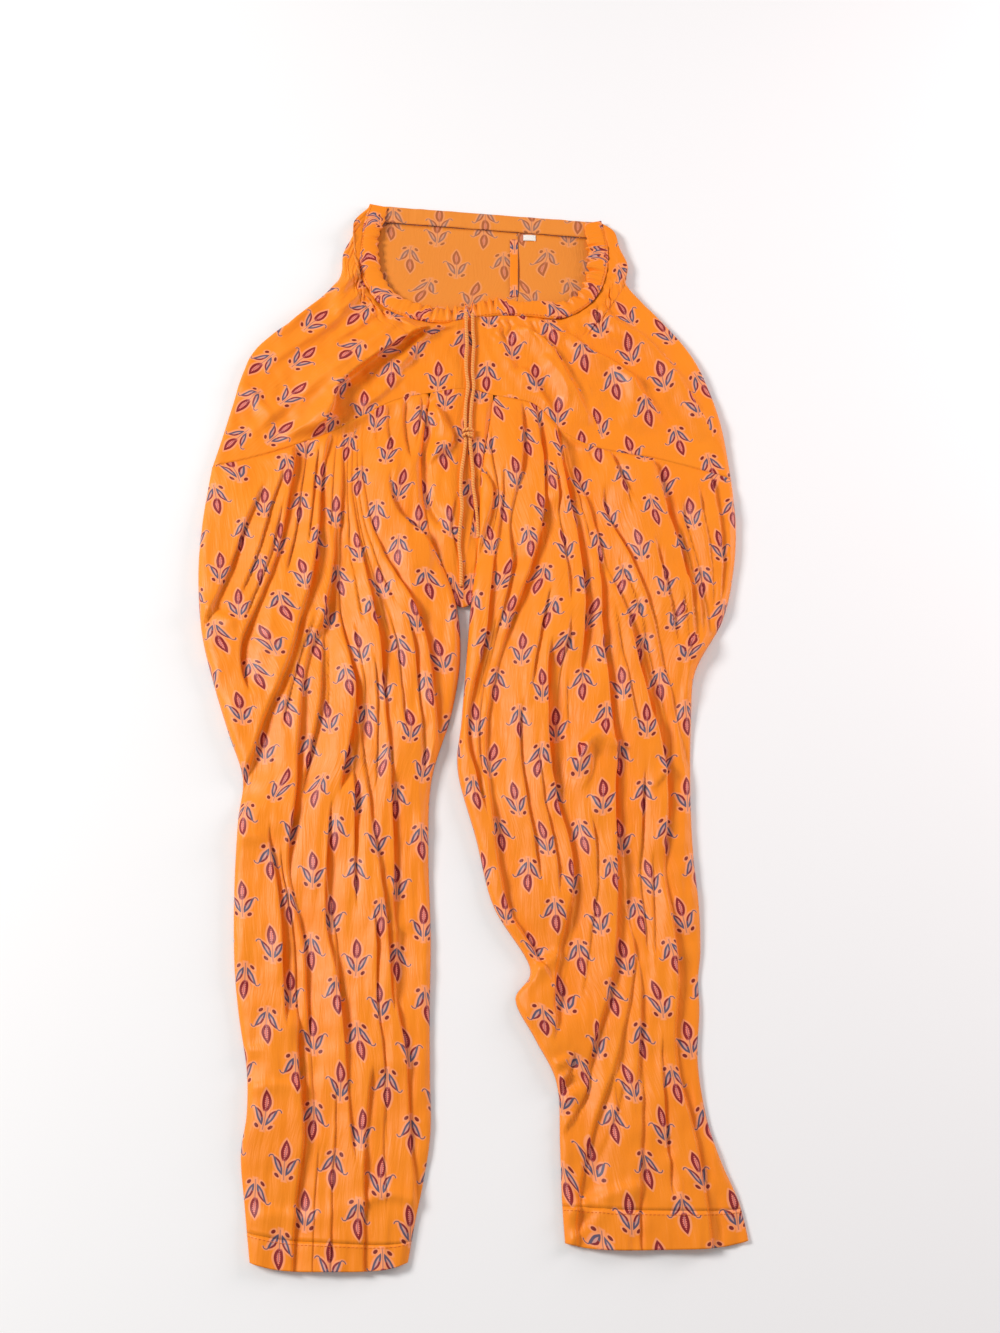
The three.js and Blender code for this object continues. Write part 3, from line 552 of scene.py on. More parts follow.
INK = {
    "cloth": colour(247, 139, 20),
    "cloth_deep": colour(243, 129, 12),
    "halo": colour(250, 156, 106),
    "pink": colour(244, 132, 116),
    "lilac": colour(200, 146, 140),
    "crimson": colour(126, 4, 22),
    "maroon": colour(112, 6, 14),
    "grey": colour(66, 70, 98),
}
WRONG_SIDE = colour(212, 140, 70)
COTTON_ROUGHNESS = 0.46
THREADS_PER_MM = 9.0
# Fine creases from wear: how many per metre across the cloth and along it
CREASES = (230.0, 28.0, 1.0)


def printed_cotton(name, paler=0.0):
    """Plain-weave cotton with the print. The wrong side is paler by the given share."""
    shader = Shader(name)
    uv, across, down = flat_cloth(shader)
    wobble = shader.noise(uv, 150.0, 2.0)
    across = across + (wobble - 0.5) * 0.9
    down = down + (wobble - 0.5) * 0.7
    crimson, dot, grey, leaf_fill, side_fill, halo = sprig_masks(*sprig_place(across, down))

    dye = shader.noise(uv, 14.0, 4.0)
    base = shader.mix((dye - 0.35) * 1.6, INK["cloth"], INK["cloth_deep"])
    look = shader.mix(halo * 0.85, base, INK["halo"])
    look = shader.mix(leaf_fill * 0.9, look, INK["pink"])
    look = shader.mix(side_fill * 0.85, look, INK["lilac"])
    look = shader.mix(grey * 0.9, look, INK["grey"])
    look = shader.mix(crimson * 0.95, look, INK["crimson"])
    look = shader.mix(dot * 0.95, look, INK["maroon"])
    if paler:
        look = shader.mix(paler + (dye - 0.5) * 0.1, look, WRONG_SIDE)

    crumple = shader.noise(uv, 70.0, 5.0)
    stretched = shader.node("ShaderNodeVectorMath", {"operation": "MULTIPLY"}, [uv, CREASES])
    crease = (shader.noise(stretched, 1.0, 2.0) - 0.5).absolute()
    weave = (across * THREADS_PER_MM).sine() * (down * THREADS_PER_MM).sine()
    bump = shader.bump(crumple + crease * 3.0 + weave * 0.02, 0.3, 0.001)
    roughness = COTTON_ROUGHNESS + (crumple - 0.5) * 0.2
    shader.set(Base_Color=look, Roughness=roughness, Normal=bump)
    shader.set(Sheen_Weight=0.03, Sheen_Roughness=0.4, Specular_IOR_Level=0.32)
    shader.surface.inputs["Sheen Tint"].default_value = colour(255, 225, 215)
    return shader.material


cotton = printed_cotton("printed_cotton")
wrong_side = printed_cotton("wrong_side", paler=0.42)
print("print: a sprig every", SPRIG_STEP, "mm, rows", SPRIG_ROW, "mm apart")

# %% [markdown]
# ## Cord, thread and tape
#
# The drawstring is a thin twisted cord of the same orange. Its twist runs along the cord's own
# coordinates, so it follows every bend, and it is painted into the cord's colour: a painted
# highlight on each strand and painted shade between them. Thread and label are plain, with a
# fine weave that is painted darker between the threads as shade.

# %% Plain materials
def twisted_cord(name):
    shader = Shader(name)
    uv, across, down = flat_cloth(shader)
    # Lighter on each strand and darker between strands: painted highlight and painted shade of the
    # twist. The fibre noise is the cord's own uneven tone.
    strand = (across * 1.1 + down * 2.4).sine()
    fibre = shader.noise(uv, 900.0)
    twist_shade_and_fibre_tone = strand * 0.35 + fibre * 0.5 + 0.3
    look = shader.mix(twist_shade_and_fibre_tone, colour(238, 128, 30), colour(255, 182, 98))
    bump = shader.bump(strand + fibre * 0.4, 0.7, 0.0006)
    roughness = 0.8 + (fibre - 0.5) * 0.2
    shader.set(Base_Color=look, Roughness=roughness, Normal=bump, Sheen_Weight=0.15)
    return shader.material


def woven_plain(name, light, shade_between_threads, threads):
    shader = Shader(name)
    place = shader.node("ShaderNodeTexCoord", output=3)
    split = shader.node("ShaderNodeSeparateXYZ", None, [place])
    across = split * threads
    down = Value(shader, split.socket.node.outputs[1]) * threads
    # The weave in the colour is painted shade: darker between the threads, lighter on them.
    weave = across.sine() * down.sine() * 0.5 + 0.5
    look = shader.mix(weave, shade_between_threads, light)
    bump = shader.bump(weave, 0.4, 0.0003)
    shader.set(Base_Color=look, Roughness=0.7 + weave * 0.15, Normal=bump)
    return shader.material


cord_cotton = twisted_cord("drawstring_cotton")
thread = woven_plain("orange_thread", colour(236, 126, 22), colour(208, 98, 10), 9000.0)
tape = woven_plain("label_tape", colour(250, 246, 240), colour(226, 218, 206), 7000.0)

# %% [markdown]
# ## The drawstring
#
# The drawstring is one cotton cord that runs through the casing. Both strands come out at the
# middle of the front, hang down side by side, are tied together in a small knot and end as two
# frayed tails. Each strand is a tube along a smooth line that lies on top of the cloth.

# %% Make the two strands and their knot
CORD_MM = 3.2
LEFT_STRAND = [
    (-3.5, 362, 12.6), (-3.5, 354, 11.4), (-3.3, 343, 11.2), (-2.6, 330, 10.4),
    (-3.4, 315, 10.9), (-3.0, 300, 11.0), (-1.4, 285, 9.6), (-3.0, 270, 8.4),
    (-3.8, 255, 8.4), (-3.4, 240.6, 9.0), (-3.2, 228.3, 9.0), (-4.6, 214, 8.0),
    (-6.8, 196, 8.6), (-7.2, 178, 9.9), (-6.0, 160, 9.6), (-7.4, 142, 9.1),
    (-8.2, 124, 8.0), (-6.6, 106, 7.2), (-6.0, 84, 6.7),
]
RIGHT_STRAND = [
    (2.5, 362, 11.5), (2.7, 354, 10.6), (2.9, 343, 10.2), (3.8, 330, 9.2), (3.2, 315, 9.2),
    (2.8, 300, 9.8), (4.0, 285, 9.0), (2.4, 270, 8.4), (1.4, 255, 8.4), (1.2, 240.6, 9.0),
    (1.0, 228.3, 9.0), (2.2, 214, 7.9), (3.6, 198, 7.6), (4.2, 182, 7.4), (6.4, 166, 7.5),
    (8.0, 150, 7.6), (9.2, 131, 8.0),
]
KNOT = {"x": -1.2, "y": 234.5, "z": 9.7, "wide": 4.0, "tall": 7.2, "deep": 2.6}
KNOT_TURNS = 2.25
KNOT_STEPS = 90
KNOT_ROPE_MM = 1.55
STEPS_PER_POINT = 12


def run_along(line):
    """How far along a line each of its points is."""
    return np.concatenate([[0], np.cumsum(np.linalg.norm(np.diff(line, axis=0), axis=1))])


def length_of(line):
    return float(np.linalg.norm(np.diff(line, axis=0), axis=1).sum())


def outward_corners(values):
    """The corner values of each face, in the order that faces out of a tube."""
    return np.roll(quad_corners(values)[:, :, ::-1], 1, axis=2)


def tube(name, line, radii, material, sides=12):
    """A round tube along a line of points in mm, closed at both ends."""
    line = np.asarray(line, float)
    along = np.gradient(line, axis=0)
    along /= np.linalg.norm(along, axis=1, keepdims=True)
    side = np.cross(along, (0, 0, 1.0))
    side /= np.linalg.norm(side, axis=1, keepdims=True)
    over = np.cross(side, along)
    turn = np.linspace(0, 2 * math.pi, sides, endpoint=False)
    turn = turn[None, :, None]
    ring = np.cos(turn) * side[:, None] - np.sin(turn) * over[:, None]
    grid = line[:, None] + ring * np.asarray(radii)[:, None, None]
    index = np.arange(len(line) * sides).reshape(-1, sides)
    index = np.concatenate([index, index[:, :1]], axis=1)
    faces = outward_corners(index).reshape(-1, 4).tolist()
    faces += [index[0, :-1][::-1].tolist(), index[-1, :-1].tolist()]
    u = 2 * math.pi * np.mean(radii) * np.arange(sides + 1) / sides
    flat = np.stack(np.broadcast_arrays(u[None, :], run_along(line)[:, None]), axis=-1)
    ends = np.zeros((2 * sides, 2))
    places = np.concatenate([outward_corners(flat).reshape(-1, 2), ends])
    return mesh_piece(name, grid, faces, [material], places)


def strand(name, points):
    """One strand of the drawstring, with a slightly frayed, thicker tip."""
    count = STEPS_PER_POINT * (len(points) - 1) + 1
    line = curve(points, np.linspace(0, len(points) - 1, count))
    radii = np.full(count, CORD_MM / 2) * (1 + 0.05 * np.sin(np.linspace(0, 60, count)))
    radii[-3:] *= (1.08, 1.15, 1.0)
    return tube(name, line, radii, cord_cotton), line


def overhand_knot():
    """A small tight knot: one rope that winds twice round the two strands."""
    turns = np.linspace(0, 2 * math.pi * KNOT_TURNS, KNOT_STEPS)
    fall = KNOT["tall"] * turns / turns[-1]
    x = KNOT["x"] + KNOT["wide"] * np.cos(turns)
    y = KNOT["y"] + KNOT["tall"] / 2 - fall + 0.8 * np.sin(turns * 0.5)
    z = KNOT["z"] + 0.6 + KNOT["deep"] * np.sin(turns)
    line = np.stack([x, y, z], axis=1)
    return tube("drawstring_knot_wraps", line, [KNOT_ROPE_MM] * KNOT_STEPS, cord_cotton)


left_strand, left_line = strand("drawstring_left", LEFT_STRAND)
right_strand, right_line = strand("drawstring_right", RIGHT_STRAND)
knot_wraps = overhand_knot()
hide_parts("drawstring_left_upper", "drawstring_left_tail")
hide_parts("drawstring_right_upper", "drawstring_right_tail")
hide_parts("drawstring_knot")
for piece, line, knots in ((left_strand, left_line, [knot_wraps]), (right_strand, right_line, [])):
    (line[0] * MM).tolist()
    (line * MM).tolist()
    print(piece.name, "length, mm:", round(length_of(line)))
for piece in (left_strand, right_strand, knot_wraps):
    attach(piece, "root")

# %% [markdown]
# ## The folds of the legs
#
# Each leg is cut very wide and pleated into the belt, so its front falls in long folds. Every
# fold has a round crest and a sharp dark valley on its right, because all the pleats were
# pressed the same way. The valleys fan out from the belt, some leave over the hip and the rest
# run down to the hem. Each one is a line of a few points with a depth and a gentle side.

# %% The folds of the legs
# A row for each valley, in mm: how deep it is, how far its gentle side reaches, and the points
# of its line
VALLEYS = {
    "left": [
        (6, 10, (-186, 190), (-202, 148), (-213, 104), (-226, 66), (-236, 30)),
        (9, 9, (-156, 255), (-163, 189), (-171, 124), (-186, 70), (-199, 31), (-198, 5),
         (-191, -20)),
        (13, 12, (-117, 270), (-130, 223), (-134, 191), (-136, 139), (-141, 92), (-150, 47),
         (-160, 4), (-174, -37), (-185, -82), (-197, -130)),
        (13, 10, (-121, 150), (-120, 109), (-126, 56), (-139, 21), (-145, -23), (-146, -64),
         (-145, -104), (-149, -161), (-143, -199), (-133, -232), (-127, -293), (-121, -355),
         (-118, -395)),
        (10, 7, (-125, 88), (-127, 18), (-128, -28), (-134, -70), (-142, -115)),
        (11, 9, (-113, 272), (-116, 219), (-116, 163), (-115, 109), (-112, 56), (-103, 9),
         (-98, -19), (-103, -64), (-111, -110)),
        (9, 13, (-103, 275), (-107, 219), (-106, 176), (-95, 109), (-82, 49), (-74, -14),
         (-66, -95), (-60, -165), (-60, -203), (-57, -238), (-56, -281), (-48, -325), (-42, -396),
         (-38, -421), (-34, -470)),
        (14, 12, (-95, 280), (-98, 224), (-91, 160), (-75, 116), (-51, 72), (-35, 32), (-29, -14),
         (-23, -69), (-17, -115)),
        (10, 9, (-75, 200), (-69, 168), (-57, 150), (-38, 134), (-22, 110), (-11, 84), (-2, 50)),
        (7, 5, (-86, 285), (-87, 245), (-82, 205)),
        (7, 5, (-74, 285), (-76, 250), (-70, 210)),
        (10, 6, (-58, 290), (-60, 250), (-54, 205)),
        (6, 5, (-44, 290), (-46, 255), (-50, 220)),
        (8, 12, (-168, -130), (-167, -148), (-158, -190), (-152, -240), (-147, -305)),
        (11, 12, (-137, -290), (-132, -345), (-128, -387), (-131, -444), (-132, -530)),
        (7, 15, (-118, -140), (-117, -211), (-102, -281), (-94, -358), (-87, -410)),
        (7, 9, (-82, -130), (-70, -199), (-63, -257), (-59, -295)),
        (9, 11, (-75, -330), (-79, -390), (-79, -436), (-75, -530)),
        (4, 6, (-176, -395), (-179, -430), (-175, -470)),
        (4, 7, (-101, 0), (-92, -60), (-84, -115), (-82, -150)),
    ],
    "right": [
        (8, 8, (13, 275), (11, 214), (21, 175), (14, 134), (3, 90)),
        (8, 9, (29, 205), (30, 166), (19, 93), (14, 32), (3, -23), (1, -64), (7, -90), (15, -130)),
        (15, 15, (68, 175), (65, 141), (52, 90), (37, 47), (28, 14), (20, -32), (18, -69),
         (21, -104), (28, -165), (38, -209), (55, -236), (70, -268)),
        (7, 8, (49, 275), (46, 202), (37, 148), (38, 95)),
        (14, 14, (69, 35), (69, -14), (71, -64), (77, -113), (87, -152), (88, -190), (78, -240),
         (71, -300)),
        (13, 10, (79, 285), (82, 243), (84, 210), (89, 180), (98, 129), (102, 75), (100, 32),
         (96, -10)),
        (13, 12, (113, 130), (118, 90), (118, 47), (121, 0), (123, -41), (127, -77), (125, -104),
         (126, -156), (126, -199), (123, -242), (115, -281), (105, -313), (95, -350)),
        (15, 12, (87, 285), (93, 214), (110, 163), (122, 109), (139, 64), (148, 23), (158, -23),
         (170, -69), (171, -113), (166, -173), (171, -211), (176, -261), (172, -305), (174, -341),
         (184, -385), (191, -440), (197, -510)),
        (11, 9, (122, 185), (126, 156), (145, 109), (161, 61), (170, 17), (180, -28), (186, -64),
         (197, -115)),
        (10, 10, (160, 255), (168, 217), (178, 163), (190, 114), (196, 61), (198, 20)),
        (8, 8, (192, 175), (195, 148), (204, 104), (211, 59), (213, 25)),
        (9, 12, (132, -145), (136, -216), (143, -261), (141, -313), (137, -360)),
        (12, 12, (128, -300), (122, -329), (105, -377), (93, -429), (88, -480)),
        (8, 7, (128, -335), (124, -358), (109, -398), (96, -432), (90, -455)),
        (6, 7, (155, -150), (156, -211), (153, -260)),
        (7, 8, (93, -180), (83, -257), (74, -289), (68, -320)),
        (6, 6, (104, -318), (98, -352), (88, -372), (72, -396)),
        (5, 5, (88, -318), (84, -338), (76, -356), (66, -368)),
        (6, 5, (104, 275), (107, 235), (118, 195)),
        (6, 6, (64, 285), (62, 250), (66, 205)),
        (5, 8, (126, 245), (134, 205), (150, 160)),
        (5, 6, (214, 230), (222, 170), (226, 110), (222, 60)),
    ],
}
# Small valleys between two of the large ones, counted from 0: their numbers, the share of the
# way between them, the y where it starts and ends, and the depth
SMALL_VALLEYS = {
    "left": [
        (0, 1, .5, 205, 60, 4), (1, 2, .35, 245, 90, 5), (1, 2, .7, 230, 115, 4),
        (2, 5, .5, 255, 130, 5), (2, 3, .5, 60, -60, 6), (5, 6, .5, 258, 40, 5),
        (5, 6, .3, 60, -70, 4), (5, 6, .7, 20, -110, 4), (6, 7, .5, 250, 60, 5),
        (6, 7, .33, 80, -60, 5), (6, 7, .66, 60, -100, 5), (3, 6, .35, -110, -330, 6),
        (3, 6, .6, -60, -210, 5), (3, 6, .75, -200, -400, 4), (14, 17, .5, -340, -500, 4),
        (14, 17, .25, -390, -530, 4), (13, 3, .5, -150, -310, 5), (0, 1, .8, 170, 40, 4),
        (6, 7, .2, 200, 20, 4), (3, 5, .5, 40, -60, 4), (6, 17, .6, -350, -450, 4),
    ],
    "right": [
        (0, 1, .5, 250, 120, 4), (1, 2, .5, 130, -100, 6), (1, 2, .3, 60, -40, 4),
        (3, 5, .5, 265, 110, 5), (3, 5, .75, 210, 60, 4), (2, 5, .4, 90, -20, 5),
        (2, 5, .75, 60, -30, 4), (2, 4, .5, -20, -190, 6), (2, 4, .75, -60, -200, 4),
        (5, 7, .5, 240, 110, 5), (6, 7, .5, 80, -60, 5), (6, 7, .5, -80, -250, 6),
        (7, 8, .5, 120, -60, 6), (7, 8, .25, 60, -80, 4), (7, 9, .5, 250, 150, 5),
        (8, 9, .5, 135, 20, 6), (8, 9, .78, 90, 0, 4), (9, 10, .5, 150, 30, 5),
        (10, 21, .5, 190, 50, 4), (4, 6, .5, -120, -290, 5), (6, 7, .3, -220, -400, 5),
        (12, 7, .45, -330, -490, 5), (12, 7, .7, -300, -440, 4), (4, 6, .3, 10, -70, 4),
    ],
}
# Crumples that run across the pleats: soft ridges with one sharper side
CRUMPLES = {
    "left": [
        (2, 6, 4, [(-176, -352), (-150, -349), (-130, -352)]),
        (3, 6, 4, [(-198, -330), (-180, -322), (-162, -322)]),
        (1.5, 6, 4, [(-182, -455), (-150, -447), (-110, -452)]),
        (3, 6, 4, [(-240, 70), (-222, 52), (-206, 44)]),
        (3, 7, 4, [(-205, -150), (-186, -146), (-170, -152)]),
        (2, 7, 4, [(-40, -212), (-60, -224), (-84, -222)]),
        (2, 6, 4, [(-30, -440), (-60, -432), (-92, -440)]),
    ],
    "right": [
        (6, 7, 3, [(86, -92), (93, -74), (104, -58), (118, -48)]),
        (4, 5, 3, [(92, -70), (108, -62), (126, -67)]),
        (4, 7, 4, [(94, -66), (98, -84), (94, -104)]),
        (3, 5, 3, [(165, -82), (160, -94), (152, -101)]),
        (5, 7, 3, [(40, -262), (56, -258), (78, -240)]),
        (4.5, 4.5, 2.5, [(44, -344), (60, -340), (84, -326)]),
        (4.5, 4.5, 2.5, [(46, -356), (64, -352), (92, -334)]),
        (4, 4.5, 2.5, [(47, -368), (66, -366), (94, -350)]),
        (3.5, 5, 3, [(48, -384), (70, -382), (90, -370)]),
        (3, 8, 5, [(70, -452), (110, -434), (140, -424)]),
        (2.5, 6, 4, [(76, -470), (98, -456), (112, -440)]),
        (2, 8, 4, [(160, -400), (166, -424), (162, -446)]),
        (4, 9, 5, [(193, 96), (202, 50), (198, 9)]),
    ],
}
SIDES = ("left", "right")
# How high the heaped cloth stands at stations down the leg
HEAP_STATIONS = (0, 1, 3, 5, 8, 11, 13, 16)
HEAP_MM = (9, 14, 17, 15.5, 12.5, 10.5, 9, 6)
# Over this width the edge of a leg or of the belt rounds away
EDGE_MM = 9.0
# Width of a crest's round shoulder, for each mm of the depth of the valley on its right
SHOULDER = 0.4
# How far a crest leans over, for each mm that it stands above the mean
LEAN = 0.5
# Height of the cloth at the seam of belt and legs, and at its ends on the hips
SEAM_MM = 7.0
SEAM_EDGE_MM = 1.6
# A valley at least this long, in mm, draws the columns of the grid together
LONG_VALLEY = 250
# How much closer together, within how many mm of the valley, and how softly at its ends
CROWD = 0.9
CROWD_REACH = 5.0
CROWD_FADE = 60
# Over how many rows on each side a column's turn is spread
TURN_ROWS = 10
# A valley rises to its full depth over this share of its length, and over no more than these mm
FADE_SHARE = 0.4
FADE_MM = 30.0
VALLEY_POINTS = 70
SMALL_VALLEY_POINTS = 40
SMALL_VALLEY_SIDE = 5.0
FRONT_COLUMNS = 212
BACK_COLUMNS = 30
FOLD_ROWS = 200
HEM_ROWS = 12
FINE_COLUMNS = 500


def last_station(side):
    return len(LEG_EDGES[side]) - 1


def hem_station(side):
    edges = LEG_EDGES[side]
    return last_station(side) - HEM_DEPTH / (edges[-2][1] - edges[-1][1])


def valley_lines(side):
    """Every valley as a close row of points, going up: depth, gentle side, y and x."""
    lines = []
    for depth, gentle, *points in VALLEYS[side]:
        dense = curve(points, np.linspace(0, len(points) - 1, VALLEY_POINTS))[::-1]
        lines.append((depth, gentle, np.maximum.accumulate(dense[:, 1]), dense[:, 0]))
    for first, second, share, top, bottom, depth in SMALL_VALLEYS[side]:
        y = np.linspace(bottom, top, SMALL_VALLEY_POINTS)
        a, b = (np.interp(y, lines[number][2], lines[number][3]) for number in (first, second))
        lines.append((depth, SMALL_VALLEY_SIDE, y, a + (b - a) * share))
    return lines


def beside_valleys(side, x, y):
    """For each valley: its depth and gentle side, how far points of the plan lie on its right,
    and how fully it is there."""
    for depth, gentle, line_y, line_x in valley_lines(side):
        slope = np.gradient(line_x) / (np.gradient(line_y) + 0.01)
        away = x - np.interp(y, line_y, line_x)
        away = away / np.sqrt(1 + np.interp(y, line_y, slope) ** 2)
        reach = min(FADE_MM, FADE_SHARE * (line_y[-1] - line_y[0]))
        there = ease(y, line_y[0], line_y[0] + reach)
        yield depth, gentle, away, there * (1 - ease(y, line_y[-1] - reach, line_y[-1]))


def soften_rows(values, reach):
    """The same values, each mixed with those of the rows near it."""
    weights = np.exp(-np.linspace(-2, 2, 2 * reach + 1) ** 2)
    weights /= weights.sum()
    padded = np.pad(values, ((reach, reach), (0, 0)), mode="edge")
    return sum(w * padded[i:i + len(values)] for i, w in enumerate(weights))


def front_columns(side, stations):
    """Where the columns of a leg's front run across it, closer together at the long valleys."""
    across = np.linspace(0, 1, FINE_COLUMNS)
    rows = np.broadcast_to(stations[:, None], (len(stations), FINE_COLUMNS))
    plan = leg_plan(side, rows, np.broadcast_to(across, rows.shape))
    crowd = np.ones(rows.shape)
    x, y = plan[..., 0], plan[..., 1]
    for _, _, line_y, line_x in valley_lines(side):
        if line_y[-1] - line_y[0] > LONG_VALLEY:
            there = ease(y, line_y[0] - CROWD_FADE, line_y[0] + CROWD_FADE)
            there = there * (1 - ease(y, line_y[-1] - CROWD_FADE, line_y[-1] + CROWD_FADE))
            away = np.abs(x - np.interp(y, line_y, line_x))
            crowd += CROWD * there * np.exp(-away / CROWD_REACH)
    total = np.cumsum(crowd, axis=1)
    total = (total - total[:, :1]) / (total[:, -1:] - total[:, :1])
    wanted = np.linspace(0, 1, FRONT_COLUMNS)
    # Each column turns gently, so that the folds are not torn into steps
    columns = np.stack([np.interp(wanted, row, across) for row in total])
    return soften_rows(columns, TURN_ROWS)


print("valleys:", {side: len(valley_lines(side)) for side in SIDES})

# %% [markdown]
# ## The legs
#
# The front of a leg is a heap of cloth with the valleys cut into it, and every crest leans over
# the valley on its right, as a pressed pleat does. The back lies flat under it. One sheet makes
# both: it runs from the inner edge over the folds to the outer edge, turns under and comes back.

# %% Make the legs and their hems
# The front lies this high on the back
BACK_MM = 1.6
# What is left of the heap's height at the bottom of the deepest valley, and how fast it falls
DEEPEST = 0.14
FALL = 1.9
# The heap is this much lower beside its edges, and the valleys this much shallower at the hem
EDGE_SHARE = 0.66
SHALLOWER = 0.3
RIPPLE_SEED = {"left": 3, "right": 4}
# Broad swells, fine streaks down the leg, and small crumples
LEG_RIPPLES = ((0, 1.2, 48, 2.6, 14), (20, 0.35, 10, 7.0, 24), (40, 0.35, 20, 1.3, 20))
# Over how many rows on each side the cloth gives sideways
GIVE_ROWS = 12


def rounded(edge):
    """0 at the edge of a heap of cloth and 1 inside it, along a quarter of a circle."""
    return np.sqrt(1 - (1 - np.clip(edge / EDGE_MM, 0, 1)) ** 2)


def front_height(side, station, across, x, y, width):
    """Height of a leg's front above the surface it lies on, in mm."""
    edge = np.minimum(across, 1 - across) * width
    round_edge = rounded(edge)
    heap = np.interp(station, HEAP_STATIONS, HEAP_MM)
    inside = ease(edge, 0, 0.28 * width)
    body = heap * round_edge * (EDGE_SHARE + (1 - EDGE_SHARE) * inside)
    cut = np.zeros_like(across)
    for number, (depth, gentle, away, there) in enumerate(beside_valleys(side, x, y)):
        uneven = 1 + 0.25 * np.sin(y / 41.0 + 2.1 * number)
        shoulder = 1 - np.clip(-away / (SHOULDER * depth), 0, 1)
        round_side = 1 - np.sqrt(1 - shoulder ** 2)
        cut += depth * there * uneven * np.where(away < 0, round_side, np.exp(-away / gentle))
    cut *= round_edge * (1 - SHALLOWER * ease(station, 8, last_station(side)))
    folded = body * (DEEPEST + (1 - DEEPEST) * np.exp(-FALL * cut / (body + 0.5)))
    uneven = unevenness(x, y, LEG_RIPPLES, RIPPLE_SEED[side])
    height = BACK_MM + folded + uneven * round_edge
    at_seam = SEAM_EDGE_MM + (SEAM_MM - SEAM_EDGE_MM) * round_edge
    return at_seam + (height - at_seam) * ease(station, 0, 0.22)


def print_place(side, stations, across, back):
    """Where each point of one side of a leg lies down the flat cloth, in mm."""
    even = np.linspace(0, 1, 41)
    rows, shares = np.meshgrid(stations, even, indexing="ij")
    plan = leg_plan(side, rows, shares, back)
    _, v = flat_places(raised(plan, 0 * plan[..., 0]))
    return np.stack([np.interp(share, even, row) for share, row in zip(across, v)])


def leg_grid(side, stations):
    """The leg as one sheet, the front from its inner edge outwards and then the back, and the
    place of each point on the flat cloth."""
    to_right = 1 if side == "left" else -1
    across = front_columns(side, stations)
    rows = np.broadcast_to(stations[:, None], across.shape)
    ends = leg_plan(side, rows, np.zeros_like(across)), leg_plan(side, rows, np.ones_like(across))
    width = np.linalg.norm(ends[1] - ends[0], axis=2)
    plan = leg_plan(side, rows, across)
    x, y = plan[..., 0].copy(), plan[..., 1].copy()
    edge = np.minimum(across, 1 - across) * width
    hold = ease(edge, 0, 14) * ease(rows, 0, 0.5)
    height = front_height(side, rows, across, x, y, width)
    crumples, shift_x, shift_y = fold_field(x, y, CRUMPLES[side])
    height += crumples * ease(edge, 0, 6)
    lean = LEAN * (height - 0.55 * height.mean(axis=1, keepdims=True))
    plan[..., 0] += (lean + shift_x) * hold
    plan[..., 1] += shift_y * hold
    front = raised(plan, height)

    back_across = np.linspace(0, 1, BACK_COLUMNS + 1)[1:]
    back_across = np.broadcast_to(back_across, (len(stations), BACK_COLUMNS))
    back_rows = np.broadcast_to(stations[:, None], back_across.shape)
    back_plan = leg_plan(side, back_rows, back_across, back=True)
    back_y = back_plan[..., 1]
    soft = 0.4 + 0.35 * ripples(back_plan[..., 0], back_y, 60, 40, 2.0)
    back_plan[..., 0] += to_right * (0.8 + 0.4 * back_across) * (1 - 2 * back_across)
    inside = ease(np.minimum(back_across, 1 - back_across), 0, 0.1)
    back = raised(back_plan, 0.55 + np.clip(soft, 0, 1.1) * inside)

    front_v = print_place(side, stations, across, False)
    back_v = print_place(side, stations, back_across, True)
    back_v = back_v - back_v[:, :1] + front_v[:, :1]
    grid = np.concatenate([front[:, ::-1], back], axis=1)
    v = np.concatenate([front_v[:, ::-1], back_v], axis=1)
    step = (np.diff(grid, axis=1) ** 2).sum(axis=2) - np.diff(v, axis=1) ** 2
    u = np.zeros_like(v)
    u[:, 1:] = np.cumsum(np.sqrt(np.maximum(step, 0)), axis=1)
    front_runs = zip(across[:, ::-1], u[:, :FRONT_COLUMNS])
    middle = [np.interp(-0.5, -share, run) for share, run in front_runs]
    # Cloth gives a little, so the print stays in shape where a fold begins or ends
    return grid, soften_rows(u - np.array(middle)[:, None], GIVE_ROWS), v


def make_leg(side):
    """The leg and its hem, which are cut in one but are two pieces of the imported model."""
    top = np.linspace(0, hem_station(side), FOLD_ROWS)
    bottom = np.linspace(hem_station(side), last_station(side), HEM_ROWS)
    grid, u, v = leg_grid(side, np.concatenate([top, bottom[1:]]))
    # The print and the right side face out whichever way round the sheet runs
    if side == "left":
        grid, u, v = grid[:, ::-1], -u[:, ::-1], v[:, ::-1]
    for name, rows in (("leg", slice(0, FOLD_ROWS)), ("hem", slice(FOLD_ROWS - 1, None))):
        places = u[rows], v[rows]
        piece = cloth_piece(f"{name}_{side}", grid[rows], [cotton, wrong_side], places)
        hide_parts(f"{name}_{side}_front", f"{name}_{side}_back")
        sheets[f"{name}_{side}"] = piece, grid[rows]


sheets = {}
for side in SIDES:
    make_leg(side)

# %% [markdown]
# ## The gussets
#
# Between the pleats and the front seam of each leg there is a plain panel, a gusset, that gives
# room over the crotch. It is not pleated, so it sinks below the pleats in soft loose folds.

